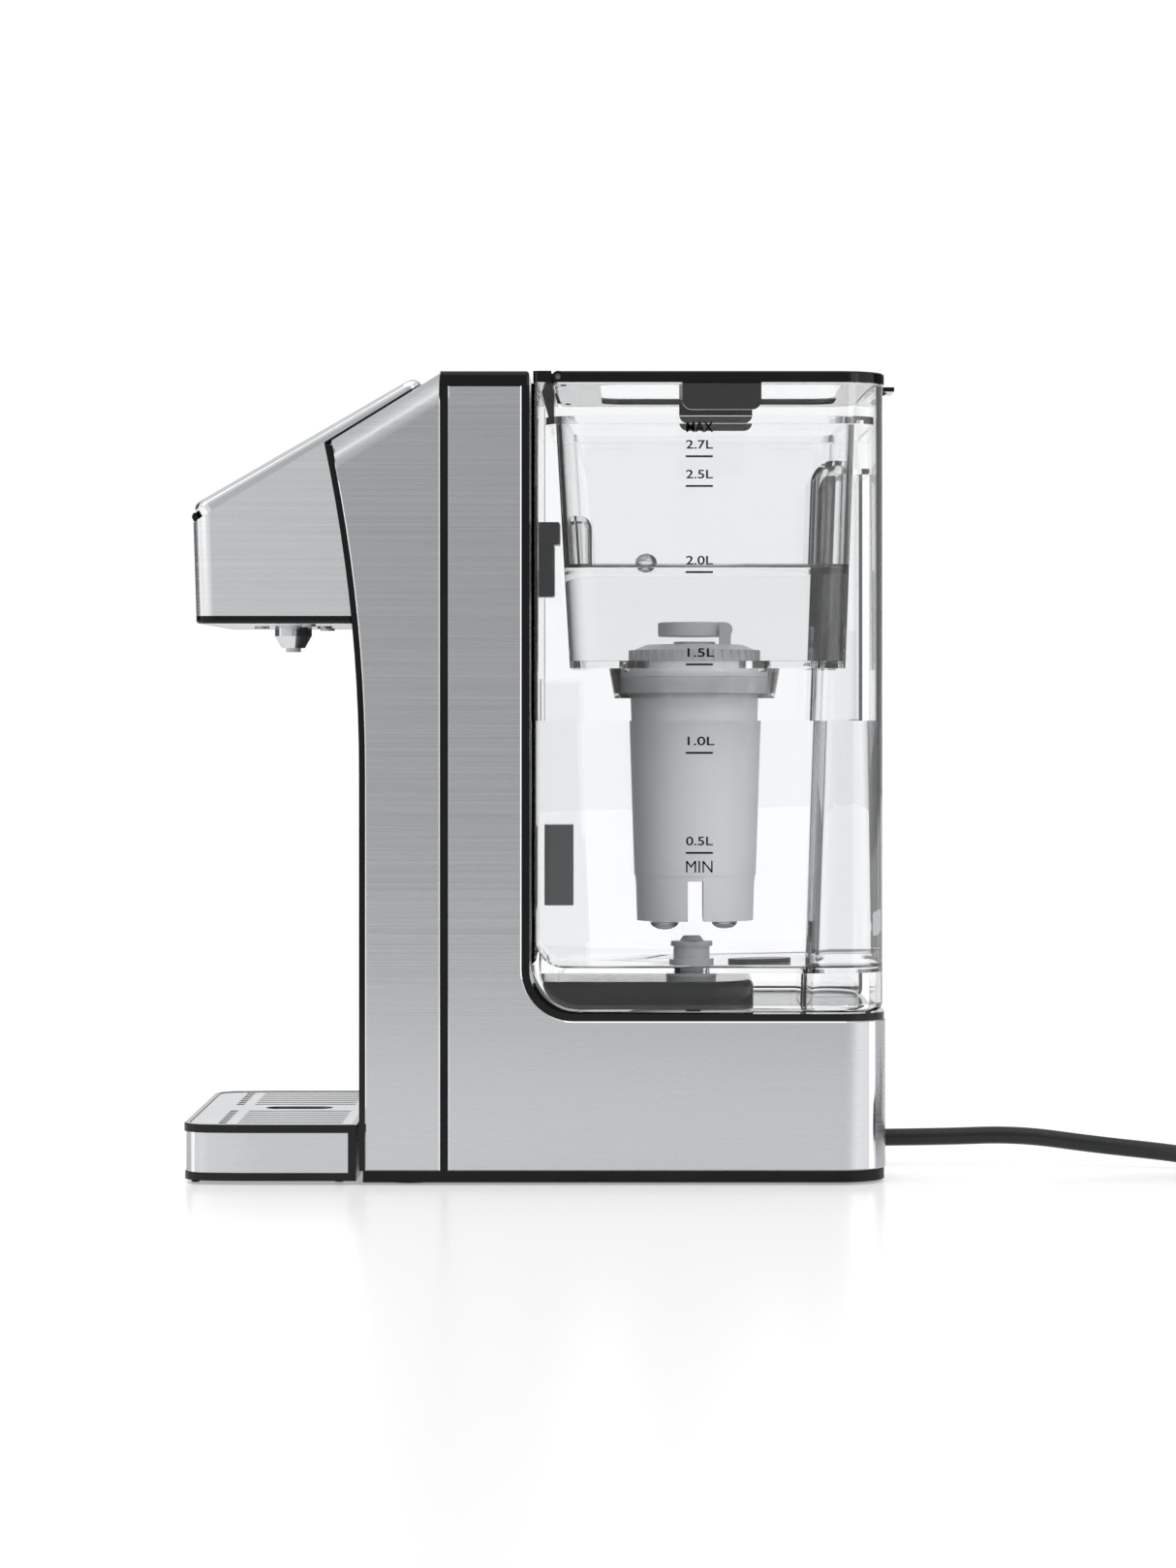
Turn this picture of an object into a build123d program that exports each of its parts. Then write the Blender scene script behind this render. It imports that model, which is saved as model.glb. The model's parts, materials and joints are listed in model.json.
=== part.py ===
from build123d import *
import math
import os

# Countertop water dispenser, in millimetres. The spout and drip tray face -Y, the tank is at +Y,
# +Z is up, and X is the width. The origin is on the worktop, at the centre of the footprint.

# ---- driving dimensions -------------------------------------------------------------------------
HALF_WIDTH = 75.0            # half the width over the steel side walls
SHEET = 1.2                  # steel sheet thickness
EDGE_BEVEL = 0.5             # bevel of the steel's outer edges
CLEAR_WALL = 2.2             # wall thickness of the clear tank and reservoir
GAP = 0.3                    # clearance between neighbours that move apart

PLATE_Z = (1.05, 5.5)        # base plate, bottom and top
BASE_TOP_Z = 63.4            # top edge of the steel round the base
BASE_REAR_Y = 133.7
BASE_CORNER_R = 19.5         # plan corners at the rear
COLUMN_TOP_Z = 309.4
GAP_Y = (-39.5, -36.6)       # dark joint between the front cover and the side panels
COLUMN_REAR_Y = -8.0         # rear edge of the steel beside the tank
CRADLE_T = (3.0, 2.8)        # cradle thickness: upright wall, deck
CRADLE_R = 20.0              # inside corner where the column meets the base
CAP_TOP_Z = 315.0
COVER_FRONT_Y = -68.6        # straight lower part of the front edge of the steel cover
CURVE_START_Z = 158.8        # the front edge curves forward above this height
CURVE_TOP = (-82.4, 288.7)   # where the curved edge meets the slope
FASCIA_T = 2.3               # black front panel that stands ahead of the steel
SLOPE_DEG = 31.5             # control panel slope
HEAD_FRONT_Y = -135.6
HEAD_FRONT_TOP_Z = 256.2
HEAD_LOW_FRONT_Y = -134.5
HEAD_BOTTOM_Z = 220.2
HEAD_HALF = 74.2
HEAD_TRIM_Z = (217.2, 220.2)  # black band under the steel of the head
UNDERSIDE_T = 1.8            # grey plate let into the band from below
UNDERSIDE_SCREWS = [(0.0, -114.6), (0.0, -89.4), (-54.0, -92.0), (54.0, -92.0)]
PANEL_HALF = 65.0
PANEL_ALONG = (2.6, 103.6)   # distances up the slope to the panel's two ends
PANEL_LIFT = (6.7, 4.2)      # height of its top above the slope at those ends
PANEL_RIM = 4.0              # width of the bright frame round the glass
PANEL_MID = sum(PANEL_ALONG) / 2
PANEL_LENGTH = PANEL_ALONG[1] - PANEL_ALONG[0]
PANEL_TURN = math.degrees(math.atan2(PANEL_LIFT[1] - PANEL_LIFT[0], PANEL_LENGTH))
GASKET_T = 0.6
NOZZLE_Y = -102.0
NOZZLE_R = (7.5, 4.8)        # upper and lower radius

TRAY_Y = (-139.7, -71.7)
TRAY_HALF = 75.0
TRAY_CORNER_R = 11.5         # front corners, which run out into the sides in a gentle arc
TRAY_SIDE_R = 150.0
TRAY_SIDE_TURN = 8.0
TRAY_FOOT_Z = 1.6            # underside of the black lower band
TRAY_BAND_Z = (4.7, 20.1)
TRAY_TOP_Z = 23.4
TRAY_SKIN = 0.8              # the steel band stands this far inside the black frame
TRAY_WALL = TRAY_SKIN + SHEET
TRAY_POST_Y = -75.1          # the steel band ends here, at a black post
GRILLE_Z = (22.0, 23.1)
GRILLE_INSET = 2.4
SLOT_COLUMNS = [14.5 + 8.2 * step for step in range(7)]

TANK_Y = (-4.4, 132.6)
TANK_HALF = 74.6
TANK_Z = (66.5, 310.2)
TANK_FLOOR_Z = 84.0
TANK_CORNER_R = 18.6
RECESS_HALF = 31.0           # hand recess in the rear of the tank
RECESS_TOP_Z = 277.0
RECESS_TOP_Y = 110.8         # its inner wall leans: depth at the top and at the tank's foot
RECESS_FOOT_Y = 103.7
GUIDE_Z_TOP = 196.0          # float guide: top, and its rear wall's depth at the top and the floor
GUIDE_REAR_Y = (14.6, 19.2)
GUIDE_HALF = 12.0

BOX_TOP_Y = (4.8, 121.7)     # upper reservoir, outside faces just under its rim
BOX_LOW_Y = (10.3, 118.4)    # and at its floor
BOX_TOP_HALF = 67.5
BOX_LOW_HALF = 63.0
RIM_Y = (1.0, 129.0)
RIM_HALF = 71.0
RIM_Z = (294.9, 297.8)
BOX_FLOOR_Z = (200.0, 203.0)
FILTER_Y = 59.7
FILTER_TOP_R = 26.2
FILTER_LOW_R = 23.0
FILTER_Z = (99.9, 203.1)
FILTER_STEP_Z = 117.9        # the foot is a little narrower below this height
WELL_BORE_R = 30.4           # bore of the collar that holds the filter, and its lower ledge
WELL_LEDGE_R = 27.0
WELL_Z = (188.3, 190.6)
FLANGE_Z = (197.3, 199.3)    # filter flange, which rests on the seal
CAP_Z = (203.2, 208.2, 210.4)  # filter cap: foot, shoulder and top
CAP_RIBS = 40
CAP_RIB_R = 24.4             # radius at the middle of each rib
RING_PIVOT = (71.5, 216.4)   # Y and Z of the pull ring's hinge line
RING_R = (9.4, 12.2)
RING_CENTRE_Y = 57.8
RING_Z = (213.6, 219.4)
LID_Z = (310.6, 315.0)
LID_Y = (-3.6, 133.2)
LID_PIVOT = (6.0, 312.8)     # Y and Z of the lid's hinge line
HINGE_EAR = (52.0, 60.0)     # |X| span of each hinge ear
VALVE_Y = 58.4
DOCK_TOP_Z = 76.6
DECK_Z = BASE_TOP_Z + CRADLE_T[1]
SENSOR_Z = [(120.0, 134.0), (228.0, 259.0)]
HEATER_Y = -55.0
BOARD_Z = 10.0               # underside of the power board, on four posts of the base plate
FOOT_PLACES = [(-58.0, -52.0), (58.0, -52.0), (-56.0, 112.0), (56.0, 112.0)]
PLATE_SCREWS = [(-66.0, 20.0), (66.0, 20.0), (-30.0, -62.0), (30.0, -62.0), (-30.0, 126.0), (30.0, 126.0)]

CORD_D = 7.0
CORD_EXIT_Z = 11.1
RELIEF_END_Y = BASE_REAR_Y + 0.8
COIL_CENTRE = (12.0, 323.0)
COIL_MID_R = 38.5            # mid radius of the wound cord
PLUG_REAR = (-55.3, 318.9, 7.4)
PLUG_TILT_DEG = 15.5
PLUG_R = 17.6
PLUG_LENGTH = 38.0
CORD_LEAD_ROUTE = [
    (0.0, 128.0, CORD_EXIT_Z),
    (0.0, 159.0, 11.4),
    (0.5, 190.0, 12.6),
    (3.5, 221.0, 8.6),
    (12.0, 250.0, 6.3),
    (25.5, 276.0, 3.5),
    (42.5, 298.0, 3.5),
]
CORD_TAIL_ROUTE = [
    (-4.4, 361.5, 8.4),
    (-25.6, 361.5, 6.0),
    (-44.5, 350.2, 4.4),
    (-55.3, 329.9, 4.4),
    (-55.3, 308.4, 10.3),
]


# ---- helpers ------------------------------------------------------------------------------------
def block(x, y, z):
    """A plain block from its (low, high) pairs."""
    centre = Pos((x[0] + x[1]) / 2, (y[0] + y[1]) / 2, (z[0] + z[1]) / 2)
    return centre * Box(x[1] - x[0], y[1] - y[0], z[1] - z[0])


def disc(radius, x, y, z):
    """An upright cylinder over the (low, high) pair z."""
    return Pos(x, y, (z[0] + z[1]) / 2) * Cylinder(radius, z[1] - z[0])


def cone(low_r, high_r, x, y, z):
    """An upright cone frustum over the (low, high) pair z."""
    return Pos(x, y, (z[0] + z[1]) / 2) * Cone(low_r, high_r, z[1] - z[0])


def side_prism(lines, half):
    """Extrude a closed side outline, drawn in (Y, Z), to both sides of the middle."""
    face = make_face(Plane.YZ * Wire(lines))
    return extrude(face, amount=half, dir=(1, 0, 0), both=True)


def side_polygon(points, half):
    """Extrude a straight-sided outline of (Y, Z) points to both sides of the middle."""
    return extrude(make_face(Plane.YZ * Polyline(*points, close=True)), amount=half, both=True)


def round_corner(start, centre, end):
    """A quarter arc about its centre, between two points in the (Y, Z) plane."""
    reach = math.dist(start, centre) / math.sqrt(2)
    outward = [math.copysign(reach, a + b - 2 * c) for a, b, c in zip(start, end, centre)]
    return ThreePointArc(start, (centre[0] + outward[0], centre[1] + outward[1]), end)


def upright_edges(solid, y_from, y_to):
    """The vertical edges of a solid whose middle lies between two Y values."""
    return solid.edges().filter_by(Axis.Z).filter_by(lambda e: y_from <= e.center().Y <= y_to)


def slope_z(y):
    """Height of the sloping top at depth y."""
    return HEAD_FRONT_TOP_Z + (y - HEAD_FRONT_Y) * math.tan(math.radians(SLOPE_DEG))


def curve_y(z, shift=0.0):
    """Depth of the column's front edge at height z, moved forward by a negative shift."""
    reach = COVER_FRONT_Y - CURVE_TOP[0]
    rise = CURVE_TOP[1] - CURVE_START_Z
    radius = (reach ** 2 + rise ** 2) / (2 * reach)
    above = max(0.0, z - CURVE_START_Z)
    return COVER_FRONT_Y + shift - (radius - math.sqrt(radius ** 2 - above ** 2))


def front_edge(bottom_z, top_z, shift):
    """The column's front edge as a straight line and an arc, from the bottom up."""
    middle_z = (CURVE_START_Z + top_z) / 2
    foot = (curve_y(bottom_z, shift), bottom_z)
    knee = (curve_y(CURVE_START_Z, shift), CURVE_START_Z)
    middle = (curve_y(middle_z, shift), middle_z)
    top = (curve_y(top_z, shift), top_z)
    return [Line(foot, knee), ThreePointArc(knee, middle, top)]


def tray_outline(inset):
    """Plan outline of the drip tray: round front corners that run out into the sides."""
    rear = TRAY_Y[1] - inset
    side_r = TRAY_SIDE_R
    turn = math.radians(TRAY_SIDE_TURN)
    bend_y = TRAY_Y[0] + TRAY_CORNER_R + (side_r - TRAY_CORNER_R) * math.sin(turn)
    corner_x = TRAY_HALF - side_r + (side_r - TRAY_CORNER_R) * math.cos(turn)
    corner_y = TRAY_Y[0] + TRAY_CORNER_R

    def at(centre, radius, angle):
        return centre[0] + (radius - inset) * math.cos(angle), centre[1] - (radius - inset) * math.sin(angle)

    side = [at((TRAY_HALF - side_r, bend_y), side_r, turn * part) for part in (0, 0.5, 1)]
    turns = [turn + (math.pi / 2 - turn) * part for part in (0, 0.5, 1)]
    corner = [at((corner_x, corner_y), TRAY_CORNER_R, angle) for angle in turns]
    lines = []
    for flip in (1, -1):
        mirrored = [[(flip * x, y) for x, y in arc] for arc in (side, corner)]
        lines.append(Line((flip * (TRAY_HALF - inset), rear), mirrored[0][0]))
        lines += [ThreePointArc(*arc) for arc in mirrored]
    lines.append(Line(corner[2], (-corner[2][0], corner[2][1])))
    lines.append(Line((TRAY_HALF - inset, rear), (inset - TRAY_HALF, rear)))
    return make_face(Wire(lines))


def tray_slab(inset, z):
    """A slab with the drip tray's outline over the (low, high) pair z."""
    return extrude(Pos(0, 0, z[0]) * tray_outline(inset), amount=z[1] - z[0])


def tube(points, outer_r, inner_r, radius):
    """A hose along straight runs joined by arcs."""
    path = FilletPolyline(*points, radius=radius)
    ring = Circle(outer_r)
    if inner_r > 0:
        ring = ring - Circle(inner_r)
    return sweep(Plane(path @ 0, z_dir=path % 0) * ring, path=path)


def route_radii(points):
    """The largest arc that each corner of a cord's route has room for."""
    radii = []
    for before, here, after in zip(points, points[1:], points[2:]):
        run_in = Vector(*here) - Vector(*before)
        run_out = Vector(*after) - Vector(*here)
        half_turn = math.radians(run_in.get_angle(run_out) / 2)
        radii.append(0.45 * min(run_in.length, run_out.length) / math.tan(half_turn))
    return radii


def cord_tube(name, points):
    """A cord's tube along its route, with its radii and its volume printed as a check."""
    radii = route_radii(points)
    path = FilletPolyline(*points, radius=radii)
    solid = sweep(Plane(path @ 0, z_dir=path % 0) * Circle(CORD_D / 2), path=path)
    section = math.pi * (CORD_D / 2) ** 2
    print(name, "radii", [round(r, 1) for r in radii], "length", round(path.length, 1),
          "volume ratio", round(solid.volume / (section * path.length), 4))
    return solid


# ---- base and column ----------------------------------------------------------------------------
def base_plan(inset, front_y):
    """Plan outline of the base, with round corners at the rear."""
    half = HALF_WIDTH - inset
    rear = BASE_REAR_Y - inset
    face = make_face(Polyline((-half, front_y), (half, front_y), (half, rear), (-half, rear), close=True))
    return fillet(face.vertices().filter_by(lambda v: v.Y > 0), radius=BASE_CORNER_R - inset)


def base_plate():
    """Black bottom plate, with foot pockets, screw holes and cooling slots."""
    plate = extrude(Pos(0, 0, PLATE_Z[0]) * base_plan(0.5, -69.4), amount=PLATE_Z[1] - PLATE_Z[0])
    for x, y in FOOT_PLACES:
        plate -= disc(9.1, x, y, (PLATE_Z[0], PLATE_Z[0] + 1.4))
    for x, y in PLATE_SCREWS:
        plate -= disc(3.2, x, y, (PLATE_Z[0], PLATE_Z[0] + 2.2))
        plate -= disc(1.6, x, y, PLATE_Z)
    for row in range(7):
        y = 22.0 + row * 8.0
        plate -= block((-26, 26), (y - 1.5, y + 1.5), PLATE_Z)
    for x in (-45.0, 45.0):
        for y in (69.0, 113.0):
            plate += disc(3.0, x, y, (PLATE_Z[1], BOARD_Z))
    return plate


def feet():
    """Four rubber feet, each in a pocket of the base plate."""
    return [disc(9.0, x, y, (0, PLATE_Z[0] + 1.4)) for x, y in FOOT_PLACES]


def case_screws():
    """Screws of the case: six in the base plate and four under the head."""
    screws = []
    for x, y in PLATE_SCREWS:
        head = disc(3.0, x, y, (PLATE_Z[0] + 0.4, PLATE_Z[0] + 2.2))
        screws.append(head + disc(1.5, x, y, (PLATE_Z[0] + 2.2, 12.0)))
    for x, y in UNDERSIDE_SCREWS:
        head = disc(3.0, x, y, (HEAD_TRIM_Z[0] - 0.9, HEAD_TRIM_Z[0] + 0.1))
        screws.append(head + disc(1.5, x, y, (HEAD_TRIM_Z[0] + 0.1, HEAD_TRIM_Z[0] + UNDERSIDE_T)))
    return screws


def side_outline(inset, rear_y):
    """The L outline of the side wall in (Y, Z), open to the front and above the base."""
    top = COLUMN_TOP_Z
    low = PLATE_Z[1]
    deck = BASE_TOP_Z - inset
    rear = COLUMN_REAR_Y - inset
    knee_y = rear + CRADLE_R
    knee_z = deck + CRADLE_R
    bend = round_corner((rear, knee_z), (knee_y, knee_z), (knee_y, deck))
    return [Line((GAP_Y[1], low), (GAP_Y[1], top)), Line((GAP_Y[1], top), (rear, top)),
            Line((rear, top), (rear, knee_z)), bend, Line((knee_y, deck), (rear_y, deck)),
            Line((rear_y, deck), (rear_y, low)), Line((rear_y, low), (GAP_Y[1], low))]


def bevel_sides(sheet):
    """Bevel the free edges of a steel sheet's two flat side faces; edges that run on smoothly follow."""
    def is_free(edge):
        middle = edge.center()
        on_side = abs(abs(middle.X) - HALF_WIDTH) < 0.01
        into_rear_corner = middle.Y > 100 and abs(edge.tangent_at(0.5).Z) > 0.9
        way = edge.tangent_at(0.5)
        into_slope = middle.Z > 280 and abs(way.Y) > 0.5 and abs(way.Z) > 0.4
        return on_side and not into_rear_corner and not into_slope

    return chamfer(sheet.edges().filter_by(is_free), length=EDGE_BEVEL)


def side_panel():
    """One steel sheet that forms both sides and wraps round the rear of the base."""
    outside = side_prism(side_outline(0, BASE_REAR_Y), HALF_WIDTH)
    plan = extrude(base_plan(0, GAP_Y[1]), amount=COLUMN_TOP_Z + 1)
    hollow = extrude(base_plan(SHEET, GAP_Y[1] - 1), amount=COLUMN_TOP_Z + 1)
    sheet = (outside & plan) - hollow
    sheet = bevel_sides(sheet)
    return sheet - Pos(0, BASE_REAR_Y, CORD_EXIT_Z) * Rot(90, 0, 0) * Cylinder(5.4, 8.0)


def cradle_form():
    """The cradle's plain L form: an upright wall and a deck joined by a round corner."""
    front = COLUMN_REAR_Y
    rear = front + CRADLE_T[0]
    low = BASE_TOP_Z
    deck = low + CRADLE_T[1]
    inner_r = CRADLE_R - CRADLE_T[0]
    end = BASE_REAR_Y - 0.4
    bend = (front + CRADLE_R, low + CRADLE_R)
    lines = [Line((front, COLUMN_TOP_Z), (front, bend[1])),
             round_corner((front, bend[1]), bend, (bend[0], low)),
             Line((front + CRADLE_R, low), (end, low)),
             Line((end, low), (end, deck)),
             Line((end, deck), (rear + inner_r, deck)),
             round_corner((rear + inner_r, deck), (rear + inner_r, deck + inner_r), (rear, deck + inner_r)),
             Line((rear, deck + inner_r), (rear, COLUMN_TOP_Z)),
             Line((rear, COLUMN_TOP_Z), (front, COLUMN_TOP_Z))]
    return side_prism(lines, HALF_WIDTH)


def cradle():
    """Black moulding that faces the tank: the column's rear wall and the deck of the base."""
    wall = cradle_form() & extrude(base_plan(0.4, -20), amount=COLUMN_TOP_Z)
    wall -= disc(6.4, 0, VALVE_Y, (BASE_TOP_Z - 1, DECK_Z + 1))
    for z in SENSOR_Z:
        wall -= block((-9, 9), (COLUMN_REAR_Y - 1, COLUMN_REAR_Y + CRADLE_T[0] + 1), z)
    return wall


def sensor_windows():
    """Dark windows in the cradle wall, ahead of the level and tank sensors."""
    y = (COLUMN_REAR_Y - 2.0, COLUMN_REAR_Y + CRADLE_T[0] - 0.3)
    return [block((-8.9, 8.9), y, (z[0] + 0.1, z[1] - 0.1)) for z in SENSOR_Z]


def column_frame():
    """Black upright frame between the front cover and the side panels."""
    plate = block((-74.6, 74.6), GAP_Y, (PLATE_Z[1], COLUMN_TOP_Z))
    for z in ((14, 54), (110, 200), (216, 290)):
        plate -= block((-52, 52), (GAP_Y[0] - 1, GAP_Y[1] + 1), z)
    return plate


def column_cap():
    """Black cap that closes the column's top, with rounded long edges."""
    cap = block((-HALF_WIDTH, HALF_WIDTH), (GAP_Y[0], -5.1), (COLUMN_TOP_Z, CAP_TOP_Z))
    cap = fillet(cap.edges().filter_by(Axis.Y).group_by(Axis.Z)[-1], radius=2.4)
    rear_edge = cap.edges().filter_by(Axis.X).group_by(Axis.Z)[-1].sort_by(Axis.Y)[-1]
    cap = fillet(rear_edge, radius=1.2)
    return cap - block((-70, 70), (GAP_Y[0] + 2, -8.5), (COLUMN_TOP_Z - 1, CAP_TOP_Z - 2.4))


def front_cover():
    """Steel cover over the front of the column: two cheeks and a rounded sloping top."""
    rear_y = GAP_Y[0]
    rear_top = slope_z(rear_y)
    low = PLATE_Z[1]
    lines = front_edge(low, CURVE_TOP[1], 0)
    lines += [Line(CURVE_TOP, (rear_y, rear_top)), Line((rear_y, rear_top), (rear_y, low)),
              Line((rear_y, low), (COVER_FRONT_Y, low))]
    outside = side_prism(lines, HALF_WIDTH)
    slope_edges = outside.edges().filter_by(
        lambda e: abs(e.center().X) > HALF_WIDTH - 0.1 and e.center().Z > 295
        and abs(e.tangent_at(0.5).Z) > 0.4 and abs(e.tangent_at(0.5).Y) > 0.5)
    outside = fillet(slope_edges, radius=11.0)
    drop = SHEET / math.cos(math.radians(SLOPE_DEG))
    inner_half = HALF_WIDTH - SHEET
    inside = side_polygon([(-100, low - 1), (-100, slope_z(-100) - drop),
                           (rear_y + 5, slope_z(rear_y + 5) - drop),
                           (rear_y + 5, low - 1)], inner_half)
    inner_edges = inside.edges().filter_by(
        lambda e: abs(e.center().X) > inner_half - 0.1 and abs(e.tangent_at(0.5).Z) > 0.4
        and abs(e.tangent_at(0.5).Y) > 0.5)
    inside = fillet(inner_edges, radius=11.0 - SHEET)
    return bevel_sides(outside - inside)


def front_fascia():
    """Black front panel of the column, which follows the curved front edge."""
    low = PLATE_Z[1]
    top = slope_z(CURVE_TOP[0]) - 2.0
    front = front_edge(low, top, -FASCIA_T)
    back = front_edge(low, top, 0)
    lines = front + [Line((curve_y(top, -FASCIA_T), top), (curve_y(top), top))] + back
    lines += [Line((curve_y(low), low), (curve_y(low, -FASCIA_T), low))]
    panel = side_prism(lines, 74.6)
    panel -= block((-20, 20), (-100, -60), (236, 270))
    return panel - block((-14, 14), (-100, -60), (9.0, 14.0))


# ---- dispensing head ----------------------------------------------------------------------------
def head_body(inset, bottom_z):
    """A solid with the head's outline, moved in by a wall thickness and open behind if inset."""
    drop = inset / math.cos(math.radians(SLOPE_DEG))
    front_low = (HEAD_LOW_FRONT_Y + inset, bottom_z)
    front_top = (HEAD_FRONT_Y + inset, slope_z(HEAD_FRONT_Y + inset) - drop)
    if inset:
        rear_y = -60.0
        solid = side_polygon([front_low, front_top, (rear_y, slope_z(rear_y) - drop), (rear_y, bottom_z)],
                             HEAD_HALF - inset)
    else:
        top_z = slope_z(CURVE_TOP[0] - FASCIA_T)
        middle_z = (bottom_z + top_z) / 2
        rear = [(curve_y(z, -FASCIA_T), z) for z in (bottom_z, middle_z, top_z)]
        lines = [Line(front_low, front_top), Line(front_top, rear[2]),
                 ThreePointArc(rear[2], rear[1], rear[0]), Line(rear[0], front_low)]
        solid = side_prism(lines, HEAD_HALF)
    corners = solid.edges().filter_by(
        lambda e: e.center().Y < HEAD_LOW_FRONT_Y + inset + 1 and abs(e.tangent_at(0.5).Z) > 0.9)
    return fillet(corners, radius=7.0 - inset)


def head_shell():
    """Steel skin of the head: its two sides, its front and its sloping top."""
    return head_body(0, HEAD_BOTTOM_Z) - head_body(SHEET, HEAD_BOTTOM_Z - 5)


def head_plan(inset):
    """Plan outline of the head's underside."""
    half = HEAD_HALF - inset
    front = HEAD_LOW_FRONT_Y + inset
    rear = curve_y(HEAD_BOTTOM_Z, -FASCIA_T) - 0.4
    face = make_face(Polyline((-half, front), (half, front), (half, rear), (-half, rear), close=True))
    return fillet(face.vertices().filter_by(lambda v: v.Y < -100), radius=7.0 - inset * 0.5)


def head_trim():
    """Black band and floor that close the head from below."""
    floor = extrude(Pos(0, 0, HEAD_TRIM_Z[0]) * head_plan(0), amount=HEAD_TRIM_Z[1] - HEAD_TRIM_Z[0])
    low_edges = floor.faces().sort_by(Axis.Z)[0].edges().filter_by(lambda e: e.center().Y < -88)
    floor = fillet(low_edges, radius=1.2)
    floor -= extrude(Pos(0, 0, HEAD_TRIM_Z[0] - 1) * head_plan(2.4), amount=UNDERSIDE_T + 1)
    return floor - disc(NOZZLE_R[0] + GAP, 0, NOZZLE_Y, (HEAD_TRIM_Z[0] - 1, HEAD_TRIM_Z[1] + 1))


def head_underside():
    """Grey cover plate under the head, round the nozzle."""
    low = HEAD_TRIM_Z[0] + 0.1
    high = HEAD_TRIM_Z[0] + UNDERSIDE_T
    plate = extrude(Pos(0, 0, low) * head_plan(2.6), amount=high - low)
    plate -= disc(NOZZLE_R[0] + GAP, 0, NOZZLE_Y, (low - 1, high + 1))
    for x, y in UNDERSIDE_SCREWS:
        plate -= disc(1.6, x, y, (low - 1, high + 1))
    return plate


def nozzle():
    """Spout housing, hollow, that tapers below the head."""
    body = disc(NOZZLE_R[0], 0, NOZZLE_Y, (213.3, 226.0))
    body += cone(NOZZLE_R[1], NOZZLE_R[0], 0, NOZZLE_Y, (208.5, 213.3))
    body += disc(11.0, 0, NOZZLE_Y, (HEAD_TRIM_Z[1], HEAD_TRIM_Z[1] + 1.6))
    return body - disc(3.6, 0, NOZZLE_Y, (200, 230))


def nozzle_tip():
    """Silicone outlet insert inside the nozzle."""
    tip = disc(3.55, 0, NOZZLE_Y, (208.5, 222.0)) + disc(3.0, 0, NOZZLE_Y, (206.9, 208.5))
    return tip - disc(1.8, 0, NOZZLE_Y, (200, 230))


def on_slope(solid, along, lift, turn=0.0):
    """Place a solid, drawn flat about its centre, on the slope's middle line."""
    angle = math.radians(SLOPE_DEG)
    y = HEAD_FRONT_Y + along * math.cos(angle) - lift * math.sin(angle)
    z = HEAD_FRONT_TOP_Z + along * math.sin(angle) + lift * math.cos(angle)
    return Pos(0, y, z) * Rot(SLOPE_DEG + turn, 0, 0) * solid


def flat_plate(width, length, thickness, corner):
    """A flat plate with round corners, standing on the XY plane."""
    return extrude(RectangleRounded(width, length, corner), amount=thickness)


def on_panel(solid):
    """Place a solid drawn under the XY plane so that the plane becomes the panel's leaning top."""
    return on_slope(solid, PANEL_MID, sum(PANEL_LIFT) / 2, PANEL_TURN)


def panel_gasket():
    """Black seal between the slope and the control panel, with the lip that closes its front end."""
    seal = flat_plate(2 * PANEL_HALF - 1, PANEL_LENGTH - 1, GASKET_T, 5.5)
    lip = Pos(0, -PANEL_LENGTH / 2 - 1.2, 1.9) * Box(2 * PANEL_HALF - 4, 2.2, 3.8)
    lip = fillet(lip.edges().filter_by(Axis.X).group_by(Axis.Z)[-1].sort_by(Axis.Y)[0], radius=1.8)
    joint = Pos(0, -PANEL_LENGTH / 2, GASKET_T / 2) * Box(2 * PANEL_HALF - 20, 4.0, GASKET_T)
    return on_slope(seal + lip + joint, PANEL_MID, 0)


def panel_bezel():
    """Bright frame of the control panel, higher in front, with softly rounded outer edges."""
    depth = 9.0
    glass_seat = 2.4
    plate = Pos(0, 0, -depth) * flat_plate(2 * PANEL_HALF, PANEL_LENGTH, depth, 6.0)
    plate = fillet(plate.faces().sort_by(Axis.Z)[-1].edges(), radius=3.0)
    plate -= Pos(0, 0, -glass_seat) * flat_plate(2 * (PANEL_HALF - PANEL_RIM), PANEL_LENGTH - 2 * PANEL_RIM,
                                                 depth, 4.0)
    under_slope = on_slope(Pos(0, 0, -10) * Box(200, 200, 20), PANEL_MID, GASKET_T)
    return on_panel(plate) - under_slope


def panel_glass():
    """Dark touch glass set into the bezel."""
    thickness = 2.2
    inset = PANEL_RIM + 0.2
    glass = Pos(0, 0, -2.4) * flat_plate(2 * (PANEL_HALF - inset), PANEL_LENGTH - 2 * inset, thickness, 3.8)
    return on_panel(glass)


# ---- drip tray ----------------------------------------------------------------------------------
def rear_part(solid, y):
    """The part of a solid behind depth y."""
    return solid & block((-100, 100), (y, 0), (-1, 60))


def tray_base():
    """Black basin of the drip tray, with its lower band and the two rear posts beside the steel."""
    top = TRAY_BAND_Z[1] + 0.1
    basin = tray_slab(0.3, (TRAY_FOOT_Z, TRAY_BAND_Z[0] - 0.05)) + tray_slab(TRAY_WALL, (4.0, top))
    basin += rear_part(tray_slab(0.3, (4.0, top)), TRAY_POST_Y)
    return basin - tray_slab(TRAY_WALL + 2.2, (4.1, 21.0))


def tray_band():
    """Steel band round the front and sides of the tray."""
    z = (TRAY_BAND_Z[0], TRAY_BAND_Z[1])
    band = tray_slab(TRAY_SKIN, z) - tray_slab(TRAY_WALL, (z[0] - 1, z[1] + 1))
    return band - rear_part(tray_slab(0, (0, 30)), TRAY_POST_Y - 0.1)


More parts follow.
